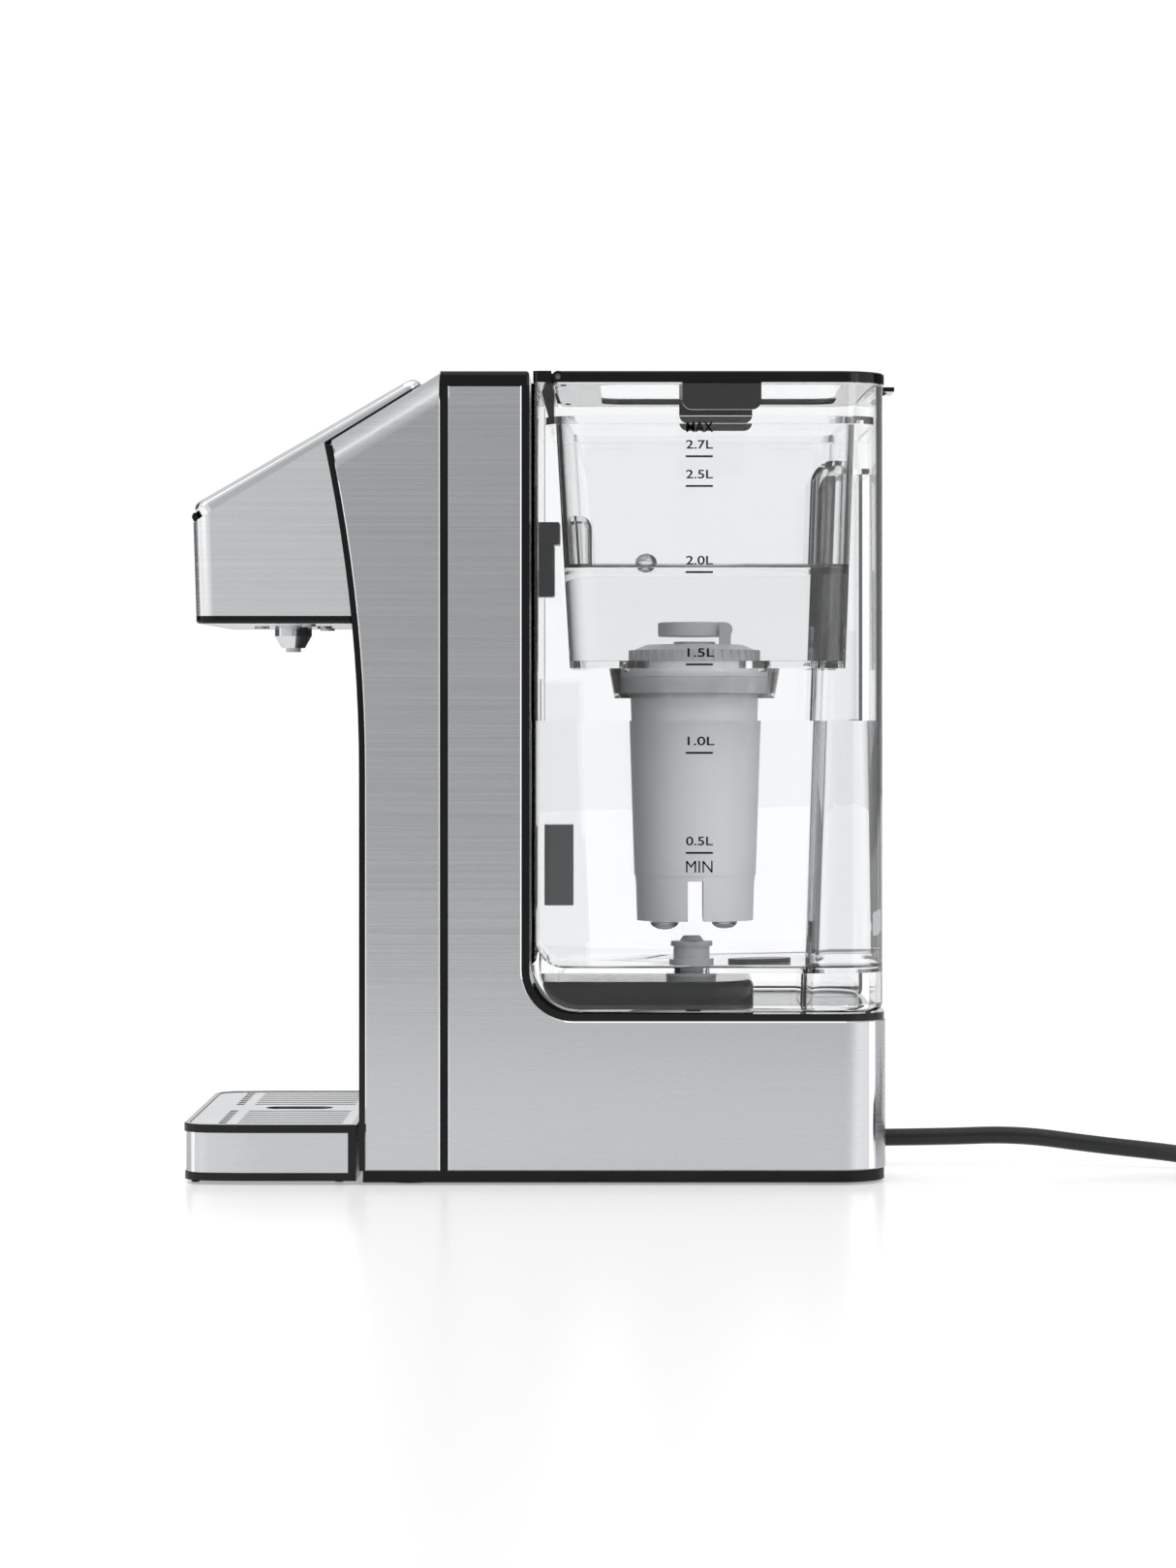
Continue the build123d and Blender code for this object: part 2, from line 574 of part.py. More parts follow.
def tray_frame():
    """Black top frame of the tray, with a ledge for the grille."""
    frame = tray_slab(0, (TRAY_BAND_Z[1] + 0.1, TRAY_TOP_Z))
    frame = fillet(frame.faces().sort_by(Axis.Z)[-1].edges(), radius=0.5)
    frame -= tray_slab(GRILLE_INSET - 0.2, (GRILLE_Z[0], TRAY_TOP_Z + 1))
    return frame - tray_slab(GRILLE_INSET + 2.8, (19.0, TRAY_TOP_Z + 1))


def tray_feet():
    """Small feet under the tray."""
    return [disc(1.6, x, y, (0, TRAY_FOOT_Z)) for x in (-61.0, 61.0) for y in (-135.4, -79.4)]


def slot(x, y, width):
    """A round-ended slot cutter that runs along Y."""
    cutter = extrude(SlotOverall(y[1] - y[0], width, rotation=90), amount=6)
    return Pos(x, (y[0] + y[1]) / 2, GRILLE_Z[0] - 2) * cutter


def tray_grille():
    """Steel grille with long slots, a row of short ones ahead of them and a middle finger slot."""
    plate = tray_slab(GRILLE_INSET, GRILLE_Z)
    cutters = [slot(0, (-113.0, -86.0), 11.5)]
    for side in (-1, 1):
        for x in SLOT_COLUMNS:
            cutters.append(slot(side * x, (-119.0, -77.6), 3.0))
            dash = extrude(RectangleRounded(4.6, 3.3, 1.0), amount=6)
            cutters.append(Pos(side * x, -124.6, GRILLE_Z[0] - 2) * dash)
    return plate - cutters


# ---- tank ---------------------------------------------------------------------------------------
def tank_prism(inset, bottom_z, corner_r, top_z):
    """The tank's outer form, with a round lower front corner and round rear plan corners."""
    front = TANK_Y[0] + inset
    rear = TANK_Y[1] - inset
    lines = [Line((front, top_z), (front, bottom_z + corner_r)),
             round_corner((front, bottom_z + corner_r), (front + corner_r, bottom_z + corner_r),
                          (front + corner_r, bottom_z)),
             Line((front + corner_r, bottom_z), (rear, bottom_z)),
             Line((rear, bottom_z), (rear, top_z)),
             Line((rear, top_z), (front, top_z))]
    solid = side_prism(lines, TANK_HALF - inset)
    solid = fillet(upright_edges(solid, rear - 1, rear + 1), radius=19.0 - inset)
    return fillet(upright_edges(solid, front - 1, front + 1), radius=3.2 - inset)


def recess_wall_y(z, grow):
    """Depth of the hand recess's leaning inner wall at height z, enlarged by a wall thickness."""
    lean = (RECESS_TOP_Y - RECESS_FOOT_Y) / (RECESS_TOP_Z - TANK_Z[0])
    return RECESS_FOOT_Y + lean * (z - TANK_Z[0]) - grow


def recess_form(grow, low_z, top_z, rear_y, corner_r):
    """A block with the hand recess's leaning inner wall and round inner edges."""
    outline = [(recess_wall_y(low_z, grow), low_z), (recess_wall_y(top_z, grow), top_z),
               (rear_y, top_z), (rear_y, low_z)]
    solid = side_polygon(outline, RECESS_HALF + grow)
    inner_edges = solid.edges().filter_by(lambda e: e.center().Y < recess_wall_y(top_z, grow) + 0.1
                                          and e.center().Z > low_z + 1)
    return fillet(inner_edges, radius=corner_r)


def recess_block(grow):
    """The hand recess in the tank's rear, enlarged by a wall thickness."""
    return recess_form(grow, 40.0, RECESS_TOP_Z + grow, 140.0, 8.0 + grow)


def tank_cavity():
    """The space inside the tank's walls, before the hand recess takes its part."""
    return tank_prism(CLEAR_WALL, TANK_FLOOR_Z, 10.0, TANK_Z[1] + 5)


def tank():
    """Clear outer tank: open top, a floor with the valve hole, skirts and a hand recess."""
    outside = tank_prism(0, TANK_Z[0], TANK_CORNER_R, TANK_Z[1])
    body = outside - (tank_cavity() - recess_block(CLEAR_WALL))
    under = block((-TANK_HALF + CLEAR_WALL, TANK_HALF - CLEAR_WALL), (-20, TANK_Y[1] - CLEAR_WALL),
                  (50, TANK_FLOOR_Z - CLEAR_WALL))
    under = fillet(upright_edges(under, 100, 140), radius=19.0 - CLEAR_WALL)
    body = body - (under - recess_block(CLEAR_WALL)) - recess_block(0)
    body -= disc(7.1, 0, VALVE_Y, (70, 90))
    return body + tank_ledge()


def tank_ledge():
    """Small inside ledges that carry the reservoir's rim."""
    z = (RIM_Z[0] - 2.3, RIM_Z[0] - GAP)
    inner = TANK_HALF - CLEAR_WALL
    ledges = []
    for side in (-1, 1):
        x = (inner - 2.6, inner + 0.1) if side > 0 else (-inner - 0.1, -inner + 2.6)
        for y in ((14.0, 34.0), (92.0, 108.0)):
            ledges.append(block(x, y, z))
    return ledges


def tank_valve():
    """Grey valve body through the tank floor, with a collar above and below."""
    body = disc(7.0, 0, VALVE_Y, (80.4, 89.8)) + disc(8.05, 0, VALVE_Y, (89.8, 91.5))
    body += disc(8.6, 0, VALVE_Y, (TANK_FLOOR_Z, TANK_FLOOR_Z + 1.4))
    body += disc(10.0, 0, VALVE_Y, (74.7, TANK_FLOOR_Z - CLEAR_WALL))
    body -= disc(4.0, 0, VALVE_Y, (70.0, 88.4))
    return body - disc(2.1, 0, VALVE_Y, (70.0, 95.0))


def valve_stem():
    """Sprung stem that the dock lifts to let water through."""
    return disc(2.0, 0, VALVE_Y, (79.2, 91.9)) + cone(4.6, 3.2, 0, VALVE_Y, (91.8, 93.7))


def valve_spring():
    """Coil spring round the valve stem."""
    coil = Helix(pitch=2.0, height=6.4, radius=2.9)
    wire = sweep(Plane(coil @ 0, z_dir=coil % 0) * Circle(0.3), path=coil)
    return Pos(0, VALVE_Y, 81.4) * wire


def floor_disc():
    """Round dark seal plug on the tank floor, behind the valve."""
    return disc(12.1, 0, 84.6, (TANK_FLOOR_Z, TANK_FLOOR_Z + 1.2)) & block((-20, 20), (60, 100), (80, 90))


def float_guide():
    """Clear upright channel on the tank's front wall, which guides the low-level float."""
    top_y, low_y = GUIDE_REAR_Y
    front = TANK_Y[0] + CLEAR_WALL
    wall = 1.6
    low = TANK_FLOOR_Z
    outline = [(front, low), (low_y, low), (top_y, GUIDE_Z_TOP), (front, GUIDE_Z_TOP)]
    channel = side_polygon(outline, GUIDE_HALF)
    hollow_top = GUIDE_Z_TOP - wall
    channel -= side_polygon([(front + 1.2, low - 1), (low_y - wall, low - 1), (top_y - wall, hollow_top),
                             (front + 1.2, hollow_top)], GUIDE_HALF - wall)
    channel -= block((-3, 3), (low_y - 4, low_y + 1), (92.0, 134.0))
    return channel & tank_cavity()


def level_float():
    """Dark float that rides up and down in its guide."""
    body = block((-8.6, 8.6), (1.4, 12.6), (106.0, 138.0))
    return fillet(body.edges().filter_by(Axis.Z), radius=2.0)


def presence_magnet():
    """Dark magnet holder on the inside of the tank's front wall."""
    body = block((-9, 9), (-2.2, 3.4), (229.0, 250.0))
    body = fillet(body.faces().sort_by(Axis.Y)[-1].edges(), radius=1.0)
    head = block((-10, 10), (-2.2, 5.6), (250.0, 259.0))
    return body + fillet(head.faces().sort_by(Axis.Y)[-1].edges(), radius=0.8)


# ---- dock under the tank ------------------------------------------------------------------------
def dock_block():
    """Black block on the deck that takes the tank's valve."""
    front = COLUMN_REAR_Y + CRADLE_T[0]
    outline = make_face(Polyline((-44, front), (44, front), (44, 83), (-44, 83), close=True))
    outline = fillet(outline.vertices().filter_by(lambda v: v.Y > 50), radius=22.0)
    body = extrude(Pos(0, 0, DECK_Z) * outline, amount=DOCK_TOP_Z - DECK_Z)
    body = fillet(body.faces().sort_by(Axis.Z)[-1].edges(), radius=2.6)
    body -= disc(10.5, 0, VALVE_Y, (71.5, 90))
    return body - disc(6.0, 0, VALVE_Y, (60, 90)) - cradle_form()


def dock_pin():
    """Hollow dock spigot that lifts the valve stem."""
    pin = disc(5.9, 0, VALVE_Y, (58.0, 70.0)) + disc(3.4, 0, VALVE_Y, (70.0, 78.9))
    pin -= disc(2.2, 0, VALVE_Y, (50, 76.5))
    return pin - block((-4, 4), (VALVE_Y - 0.8, VALVE_Y + 0.8), (74, 77.4))


def dock_seal():
    """Rubber ring in the dock's socket."""
    return disc(9.4, 0, VALVE_Y, (71.5, 73.9)) - disc(6.6, 0, VALVE_Y, (71, 75))


# ---- upper reservoir, filter and lid ------------------------------------------------------------
def reservoir_form(inset, bottom_z, top_z):
    """The tapering form of the reservoir, moved in by a wall thickness."""
    low = BOX_LOW_Y[0] + inset, BOX_LOW_Y[1] - inset
    high = BOX_TOP_Y[0] + inset, BOX_TOP_Y[1] - inset
    faces = []
    for z, y, half in ((bottom_z, low, BOX_LOW_HALF - inset), (top_z, high, BOX_TOP_HALF - inset)):
        plan = Rectangle(2 * half, y[1] - y[0])
        plan = fillet(plan.vertices(), radius=12.0 - inset)
        faces.append(Pos(0, (y[0] + y[1]) / 2, z) * plan)
    return loft(faces, ruled=True)


def reservoir_recess(grow):
    """Space that the reservoir leaves for the tank's hand recess."""
    clear = CLEAR_WALL + 1.0 + grow
    return recess_form(clear, 150.0, RECESS_TOP_Z + clear, 140.0, 7.0 + grow)


def reservoir_channel(grow):
    """Space that the reservoir leaves at the front, above the float guide."""
    solid = block((-15.0 - grow, 15.0 + grow), (-5, 16.3 + grow), (150, 259.0 + grow))
    return fillet(solid.edges().filter_by(lambda e: abs(e.center().Y - (16.3 + grow)) < 0.1
                                          and e.center().Z > 170), radius=3.0 + grow)


def reservoir():
    """Clear reservoir that hangs in the tank by its rim and holds the filter."""
    wall = 2.0
    top = RIM_Z[1]
    cavity = reservoir_form(wall, BOX_FLOOR_Z[1], top + 0.01)
    cavity -= reservoir_recess(wall) + reservoir_channel(wall)
    body = reservoir_form(0, BOX_FLOOR_Z[0], top)
    rim = Pos(0, (RIM_Y[0] + RIM_Y[1]) / 2, RIM_Z[0]) * extrude(
        RectangleRounded(2 * RIM_HALF, RIM_Y[1] - RIM_Y[0], 15.0), amount=RIM_Z[1] - RIM_Z[0])
    body = body + rim - reservoir_recess(0) - reservoir_channel(0) - cavity
    body += cone(32.4, 34.5, 0, FILTER_Y, (WELL_Z[0], BOX_FLOOR_Z[0]))
    body -= disc(WELL_BORE_R, 0, FILTER_Y, (WELL_Z[1], BOX_FLOOR_Z[1] + 1))
    return body - disc(WELL_LEDGE_R, 0, FILTER_Y, (WELL_Z[0] - 1, BOX_FLOOR_Z[1]))


def filter_housing():
    """White filter body: a tapering cup with a flange, a narrower foot and slots in it."""
    body = cone(FILTER_LOW_R, FILTER_TOP_R, 0, FILTER_Y, FILTER_Z)
    body -= disc(40, 0, FILTER_Y, (FILTER_Z[0] - 1, FILTER_STEP_Z))
    body += cone(FILTER_LOW_R - 0.4, FILTER_LOW_R + 0.15, 0, FILTER_Y, (FILTER_Z[0], FILTER_STEP_Z))
    body += disc(WELL_BORE_R - GAP - 0.1, 0, FILTER_Y, FLANGE_Z)
    body -= cone(FILTER_LOW_R - 2.0, FILTER_TOP_R - 1.8, 0, FILTER_Y, (103.0, FILTER_Z[1] + 0.1))
    cut = block((-2.95, 2.95), (FILTER_Y - 40, FILTER_Y + 40), (90, 115.8))
    cut += block((-40, 40), (FILTER_Y - 2.95, FILTER_Y + 2.95), (90, 115.8))
    return body - cut


def filter_media():
    """Granulate cartridge inside the filter body."""
    return cone(FILTER_LOW_R - 2.0, FILTER_TOP_R - 2.6, 0, FILTER_Y, (119.0, 201.0))


def filter_seal():
    """Grey seal ring round the filter, between the collar's ledge and the filter's flange."""
    z = (WELL_Z[1] + 0.1, FLANGE_Z[0] - 0.1)
    return disc(WELL_BORE_R - 0.4, 0, FILTER_Y, z) - disc(WELL_LEDGE_R + 0.2, 0, FILTER_Y, (180, 200))


def filter_cap():
    """Grey ribbed cap of the filter, with a lower centre boss and hinge posts."""
    foot, shoulder, top = CAP_Z
    cap = cone(25.4, 23.8, 0, FILTER_Y, (foot, shoulder)) + cone(23.8, 18.6, 0, FILTER_Y, (shoulder, top))
    rib = Pos(CAP_RIB_R, 0, (foot + shoulder) / 2) * Box(2.0, 1.3, shoulder - foot)
    for step in range(CAP_RIBS):
        cap += Pos(0, FILTER_Y, 0) * Rot(0, 0, 360.0 * step / CAP_RIBS) * rib
    cap += disc(8.0, 0, FILTER_Y, (top, top + 1.2))
    pivot_y, pivot_z = RING_PIVOT
    for side in (-1, 1):
        x = sorted((side * 5.6, side * 8.6))
        cap += block(x, (pivot_y - 2.2, pivot_y + 2.2), (shoulder, pivot_z))
        cap += Pos(side * 7.1, pivot_y, pivot_z) * Rot(0, 90, 0) * Cylinder(2.2, 3.0)
    return cap - Pos(0, pivot_y, pivot_z) * Rot(0, 90, 0) * Cylinder(1.06, 30)


def filter_ring():
    """Pull ring of the filter, which folds up on its hinge pin."""
    ring = disc(RING_R[1], 0, RING_CENTRE_Y, RING_Z) - disc(RING_R[0], 0, RING_CENTRE_Y, (200, 230))
    pivot_y, pivot_z = RING_PIVOT
    ring += block((-5.2, 5.2), (RING_CENTRE_Y + RING_R[0] + 0.6, pivot_y), RING_Z)
    ring = fillet(ring.edges().filter_by(GeomType.CIRCLE).filter_by(lambda e: e.radius > RING_R[1] - 0.1),
                  radius=0.8)
    hub = Pos(0, pivot_y, pivot_z) * Rot(0, 90, 0) * Cylinder(2.9, 10.4)
    pin = Pos(0, pivot_y, pivot_z) * Rot(0, 90, 0) * Cylinder(1.0, 18.4)
    return ring + hub + pin


def hinge_bar():
    """Black fixed strip of the lid, with the hinge ears and the middle bracket to the rim."""
    bar = block((-HALF_WIDTH + 0.4, HALF_WIDTH - 0.4), (LID_Y[0], 3.5), LID_Z)
    bar = fillet(upright_edges(bar, LID_Y[0] - 1, LID_Y[0] + 1), radius=2.0)
    for side in (-1, 1):
        x = sorted((side * HINGE_EAR[0], side * HINGE_EAR[1]))
        bar += block(x, (3.4, LID_PIVOT[0]), LID_Z)
        bar += Pos(side * 56.0, *LID_PIVOT) * Rot(0, 90, 0) * Cylinder(2.2, 8.0)
    bracket = side_polygon([(-1.6, LID_Z[0] + 0.1), (3.4, LID_Z[0] + 0.1), (3.4, RIM_Z[1]), (2.0, RIM_Z[1])],
                           14.0)
    bar += bracket
    return bar - Pos(0, *LID_PIVOT) * Rot(0, 90, 0) * Cylinder(1.05, 200)


def lid_plan(inset, front_y):
    """Plan outline of the lid, with round corners at the rear."""
    half = HALF_WIDTH - 0.4 - inset
    rear = LID_Y[1] - inset
    face = make_face(Polyline((-half, front_y), (half, front_y), (half, rear), (-half, rear), close=True))
    return fillet(face.vertices().filter_by(lambda v: v.Y > 60), radius=19.0 - inset)


def lid_frame():
    """Black frame of the lid, with a round front edge, a thumb tab and two side grips."""
    pivot_y = LID_PIVOT[0]
    frame = extrude(Pos(0, 0, LID_Z[0]) * lid_plan(0, pivot_y), amount=LID_Z[1] - LID_Z[0])
    rear_top = frame.edges().filter_by(lambda e: e.center().Z > LID_Z[1] - 0.1 and e.center().Y > pivot_y + 1)
    frame = fillet(rear_top, radius=1.0)
    frame += Pos(0, *LID_PIVOT) * Rot(0, 90, 0) * Cylinder(2.2, 2 * (HALF_WIDTH - 0.4))
    window = extrude(Pos(0, 0, LID_Z[0] - 1) * Pos(0, 70, 0) * RectangleRounded(124, 102, 12), amount=8)
    frame -= window
    ledge = extrude(Pos(0, 0, LID_Z[0]) * Pos(0, 70, 0) * RectangleRounded(126, 104, 12), amount=1.2)
    frame += ledge - extrude(Pos(0, 0, LID_Z[0] - 1) * Pos(0, 70, 0) * RectangleRounded(118, 96, 9), amount=4)
    for side in (-1, 1):
        x = sorted((side * (HINGE_EAR[0] - GAP), side * (HINGE_EAR[1] + GAP)))
        frame -= block(x, (0, 9.0), (LID_Z[0] - 1, LID_Z[1] + 1))
        grip_x = sorted((side * 69.0, side * 71.6))
        grip = block(grip_x, (54.2, 84.8), (300.2, LID_Z[0]))
        frame += fillet(grip.edges().filter_by(Axis.X).group_by(Axis.Z)[0], radius=3.6)
    frame += block((-12, 12), (LID_Y[1] - 3, 139.7), (311.2, 313.0))
    frame += side_polygon([(LID_Y[1] - 0.3, 311.3), (137.5, 311.3), (LID_Y[1] - 0.3, 308.4)], 1.2)
    return frame - Pos(0, *LID_PIVOT) * Rot(0, 90, 0) * Cylinder(1.05, 200)


def lid_window():
    """Clear middle of the lid."""
    return extrude(Pos(0, 70, LID_Z[0] + 1.25) * RectangleRounded(123.6, 101.6, 11.8), amount=2.4)


def lid_pins():
    """Steel hinge pins, one at each ear."""
    return [Pos(side * 56.0, *LID_PIVOT) * Rot(0, 90, 0) * Cylinder(1.0, 20.0) for side in (-1, 1)]


# ---- water path and electrics inside ------------------------------------------------------------
def pump():
    """Pump and its motor, lying in the base."""
    motor = Pos(-20, 14, 30) * Rot(0, 90, 0) * Cylinder(16.0, 46)
    housing = block((2, 26), (-2, 30), (15, 46))
    return fillet(housing.edges().filter_by(Axis.X), radius=4.0) + motor


def pump_bracket():
    """Rubber-lined bracket that carries the pump."""
    base = block((-44, 28), (-4, 32), (PLATE_Z[1], 8.0))
    cheek = block((-43, -39), (-2, 30), (8.0, 26.0)) + block((-2, 2), (-2, 30), (8.0, 20.0))
    return (base + cheek) - Pos(-20, 14, 30) * Rot(0, 90, 0) * Cylinder(16.1, 60)


def heater():
    """Instant heater: an upright flow tube with end caps."""
    body = disc(11.5, 0, HEATER_Y, (64.0, 176.0))
    for z in ((58.0, 66.0), (174.0, 182.0)):
        body += disc(13.5, 0, HEATER_Y, z)
    return body


def heater_clamps():
    """Two clamps that hold the heater to the column frame."""
    clamps = []
    for z in ((88.0, 96.0), (154.0, 162.0)):
        strap = block((-58, 58), (GAP_Y[0] - 1.6, GAP_Y[0]), z)
        ring = disc(13.4, 0, HEATER_Y, z) + block((-4, 4), (HEATER_Y + 11, GAP_Y[0]), z)
        clamps.append(ring + strap - disc(11.6, 0, HEATER_Y, z))
    return clamps


def inlet_hose():
    """Silicone hose from the dock to the pump."""
    return tube([(0, VALVE_Y, 57.9), (0, VALVE_Y, 44), (15, VALVE_Y - 4, 34), (15, 30.1, 34)], 4.2, 2.6, 5.0)


def heater_hose():
    """Silicone hose from the pump up to the heater."""
    return tube([(15, -2.1, 34), (15, -24, 34), (0, HEATER_Y, 40), (0, HEATER_Y, 57.9)], 4.2, 2.6, 5.0)


def outlet_hose():
    """Silicone hose from the heater to the steam separator in the head."""
    return tube([(0, HEATER_Y, 182.1), (0, HEATER_Y, 214), (0, -62, 244), (0, -85.9, 244)], 4.2, 2.6, 6.0)


def separator():
    """Steam separator above the nozzle."""
    body = block((-16, 16), (-114, -86), (228.0, 252.0))
    body = fillet(body.edges().filter_by(Axis.Z), radius=5.0)
    return body + disc(3.5, 0, NOZZLE_Y, (222.1, 228.0))


def control_board():
    """Touch board under the control panel."""
    board = Box(104, 42, 1.6) + Pos(0, 6, 2.1) * Box(34, 16, 2.6)
    return on_slope(board, 31.0, -7.0)


def power_board():
    """Power board in the rear of the base, with its relay and transformer blocks."""
    board = block((-50, 50), (64, 118), (BOARD_Z, 11.6))
    for x, y, w, d, h in ((-32, 84, 22, 18, 16), (4, 80, 24, 20, 22), (34, 96, 14, 30, 12)):
        board += block((x - w / 2, x + w / 2), (y - d / 2, y + d / 2), (11.6, 11.6 + h))
    return board


# ---- mains lead ---------------------------------------------------------------------------------
def strain_relief():
    """Rubber bushing in the rear of the base: a flange inside the steel and a neck nearly flush with it."""
    start = BASE_REAR_Y - 3.4
    root = Pos(0, start + 0.9, CORD_EXIT_Z) * Rot(90, 0, 0) * Cylinder(7.4, 1.8)
    root &= block((-10, 10), (start - 1, BASE_REAR_Y), (PLATE_Z[1] + 0.2, 30))
    neck_length = RELIEF_END_Y - start - 1.8
    neck = Pos(0, RELIEF_END_Y - neck_length / 2, CORD_EXIT_Z) * Rot(90, 0, 0) * Cylinder(5.2, neck_length)
    neck = fillet(neck.edges().sort_by(Axis.Y)[-1], radius=0.6)
    return root + neck - Pos(0, BASE_REAR_Y, CORD_EXIT_Z) * Rot(90, 0, 0) * Cylinder(CORD_D / 2 + 0.05, 80)


def cord_coil():
    """Outer form of the wound cord: two turns on the worktop and one on top of them."""
    reach = CORD_D
    section = make_face(Plane.XZ * Polyline((COIL_MID_R - reach, 0), (COIL_MID_R + reach, 0),
                                            (COIL_MID_R + reach, 7.0), (COIL_MID_R + 3.5, 13.0),
                                            (COIL_MID_R - 3.5, 13.0), (COIL_MID_R - reach, 7.0), close=True))
    return Pos(COIL_CENTRE[0], COIL_CENTRE[1], 0) * revolve(section, axis=Axis.Z)


def plug_place(solid):
    """Move a solid drawn along local -Y from the plug's rear end to where the plug lies."""
    return Pos(*PLUG_REAR) * Rot(-PLUG_TILT_DEG, 0, 0) * solid


def along_plug(low_r, high_r, start, end):
    """A round length of the plug between two distances from its rear end."""
    return Pos(0, -(start + end) / 2, 0) * Rot(90, 0, 0) * Cone(low_r, high_r, end - start)


def plug_body():
    """Moulded plug: a tapering sleeve, a grip and a round front."""
    body = along_plug(4.6, 5.8, 0.0, 14.0) + along_plug(5.8, 9.0, 14.0, 20.0)
    body += along_plug(9.0, 15.0, 20.0, 27.0) + along_plug(15.0, 16.0, 27.0, 31.0)
    body += along_plug(16.0, PLUG_R, 31.0, PLUG_LENGTH)
    body -= along_plug(CORD_D / 2 + 0.1, CORD_D / 2 + 0.05, -1.0, 13.0)
    return plug_place(body)


def plug_pins():
    """Two round pins."""
    pins = []
    for x in (-9.5, 9.5):
        pins.append(plug_place(Pos(x, 0, 0) * along_plug(2.4, 2.2, PLUG_LENGTH, PLUG_LENGTH + 19.0)))
    return pins


def write_part(name, shape):
    """Write one node; a list becomes a group of separate solids."""
    if isinstance(shape, list):
        shape = Compound(children=[Compound(solid.solids()) for solid in shape])
    export_step(shape, os.path.join("parts", name + ".step"))


NODES = {
    "base_plate": base_plate, "rubber_feet": feet, "case_screws": case_screws, "side_panel": side_panel,
    "cradle": cradle, "sensor_windows": sensor_windows, "column_frame": column_frame,
    "column_cap": column_cap, "front_cover": front_cover, "front_fascia": front_fascia,
    "head_shell": head_shell, "head_trim": head_trim, "head_underside": head_underside,
    "nozzle": nozzle, "nozzle_tip": nozzle_tip,
    "panel_gasket": panel_gasket, "panel_bezel": panel_bezel, "panel_glass": panel_glass,
    "tray_base": tray_base, "tray_band": tray_band, "tray_frame": tray_frame, "tray_feet": tray_feet,
    "tray_grille": tray_grille,
    "tank": tank, "tank_valve": tank_valve, "valve_stem": valve_stem, "valve_spring": valve_spring,
    "floor_disc": floor_disc, "float_guide": float_guide, "level_float": level_float,
    "presence_magnet": presence_magnet,
    "dock_block": dock_block, "dock_pin": dock_pin, "dock_seal": dock_seal,
    "reservoir": reservoir, "filter_housing": filter_housing, "filter_media": filter_media,
    "filter_seal": filter_seal, "filter_cap": filter_cap, "filter_ring": filter_ring,
    "hinge_bar": hinge_bar, "lid_frame": lid_frame, "lid_window": lid_window, "lid_pins": lid_pins,
    "pump": pump, "pump_bracket": pump_bracket, "heater": heater, "heater_clamps": heater_clamps,
    "inlet_hose": inlet_hose, "heater_hose": heater_hose, "outlet_hose": outlet_hose,
    "separator": separator, "control_board": control_board, "power_board": power_board,
    "strain_relief": strain_relief, "cord_coil": cord_coil, "plug_body": plug_body, "plug_pins": plug_pins,
}

os.makedirs("parts", exist_ok=True)
for node, make in NODES.items():
    write_part(node, make())
write_part("cord_lead", cord_tube("cord_lead", CORD_LEAD_ROUTE))
write_part("cord_tail", cord_tube("cord_tail", CORD_TAIL_ROUTE))
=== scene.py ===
import json
import math

import bmesh
import bpy
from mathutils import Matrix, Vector


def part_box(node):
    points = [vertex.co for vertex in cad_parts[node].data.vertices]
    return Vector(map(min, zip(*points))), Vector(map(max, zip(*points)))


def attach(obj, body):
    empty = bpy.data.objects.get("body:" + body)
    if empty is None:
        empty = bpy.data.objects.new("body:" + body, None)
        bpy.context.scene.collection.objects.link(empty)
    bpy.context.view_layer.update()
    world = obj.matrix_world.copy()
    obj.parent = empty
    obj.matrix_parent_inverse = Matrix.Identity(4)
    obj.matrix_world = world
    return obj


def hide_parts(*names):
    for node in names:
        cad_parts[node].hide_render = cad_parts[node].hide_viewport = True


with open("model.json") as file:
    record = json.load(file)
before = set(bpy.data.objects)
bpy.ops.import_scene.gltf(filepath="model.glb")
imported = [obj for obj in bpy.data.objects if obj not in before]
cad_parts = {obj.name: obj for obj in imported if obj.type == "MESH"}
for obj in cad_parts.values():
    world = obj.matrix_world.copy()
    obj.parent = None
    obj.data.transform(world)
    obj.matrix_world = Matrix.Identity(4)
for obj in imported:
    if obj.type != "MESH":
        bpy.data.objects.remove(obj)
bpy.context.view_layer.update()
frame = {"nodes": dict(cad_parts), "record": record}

NODES = frame["nodes"]
MM = 0.001


# ---- shader helpers -----------------------------------------------------------------------------
def new_material(name):
    """An empty node material; returns the material, its tree, its Principled shader."""
    material = bpy.data.materials.new(name)
    material.use_nodes = True
    tree = material.node_tree
    return material, tree, tree.nodes["Principled BSDF"]


def add(tree, kind, **values):
    """Add a shader node; keys are attributes, or inputs where the node has one of that name."""
    node = tree.nodes.new(kind)
    for key, value in values.items():
        label = key.replace("_", " ")
        if label in node.inputs:
            node.inputs[label].default_value = value
        else:
            setattr(node, key, value)
    return node


def join(tree, source, out, target, into):
    """Link one socket to another by name."""
    tree.links.new(source.outputs[out], target.inputs[into])


def object_noise(tree, scale, detail=3.0, stretch=(1.0, 1.0, 1.0)):
    """Noise in object space, in cycles per metre, stretched along the axes."""
    coords = add(tree, "ShaderNodeTexCoord")
    mapping = add(tree, "ShaderNodeMapping")
    mapping.inputs["Scale"].default_value = stretch
    noise = add(tree, "ShaderNodeTexNoise", Scale=scale, Detail=detail)
    join(tree, coords, "Object", mapping, "Vector")
    join(tree, mapping, "Vector", noise, "Vector")
    return noise


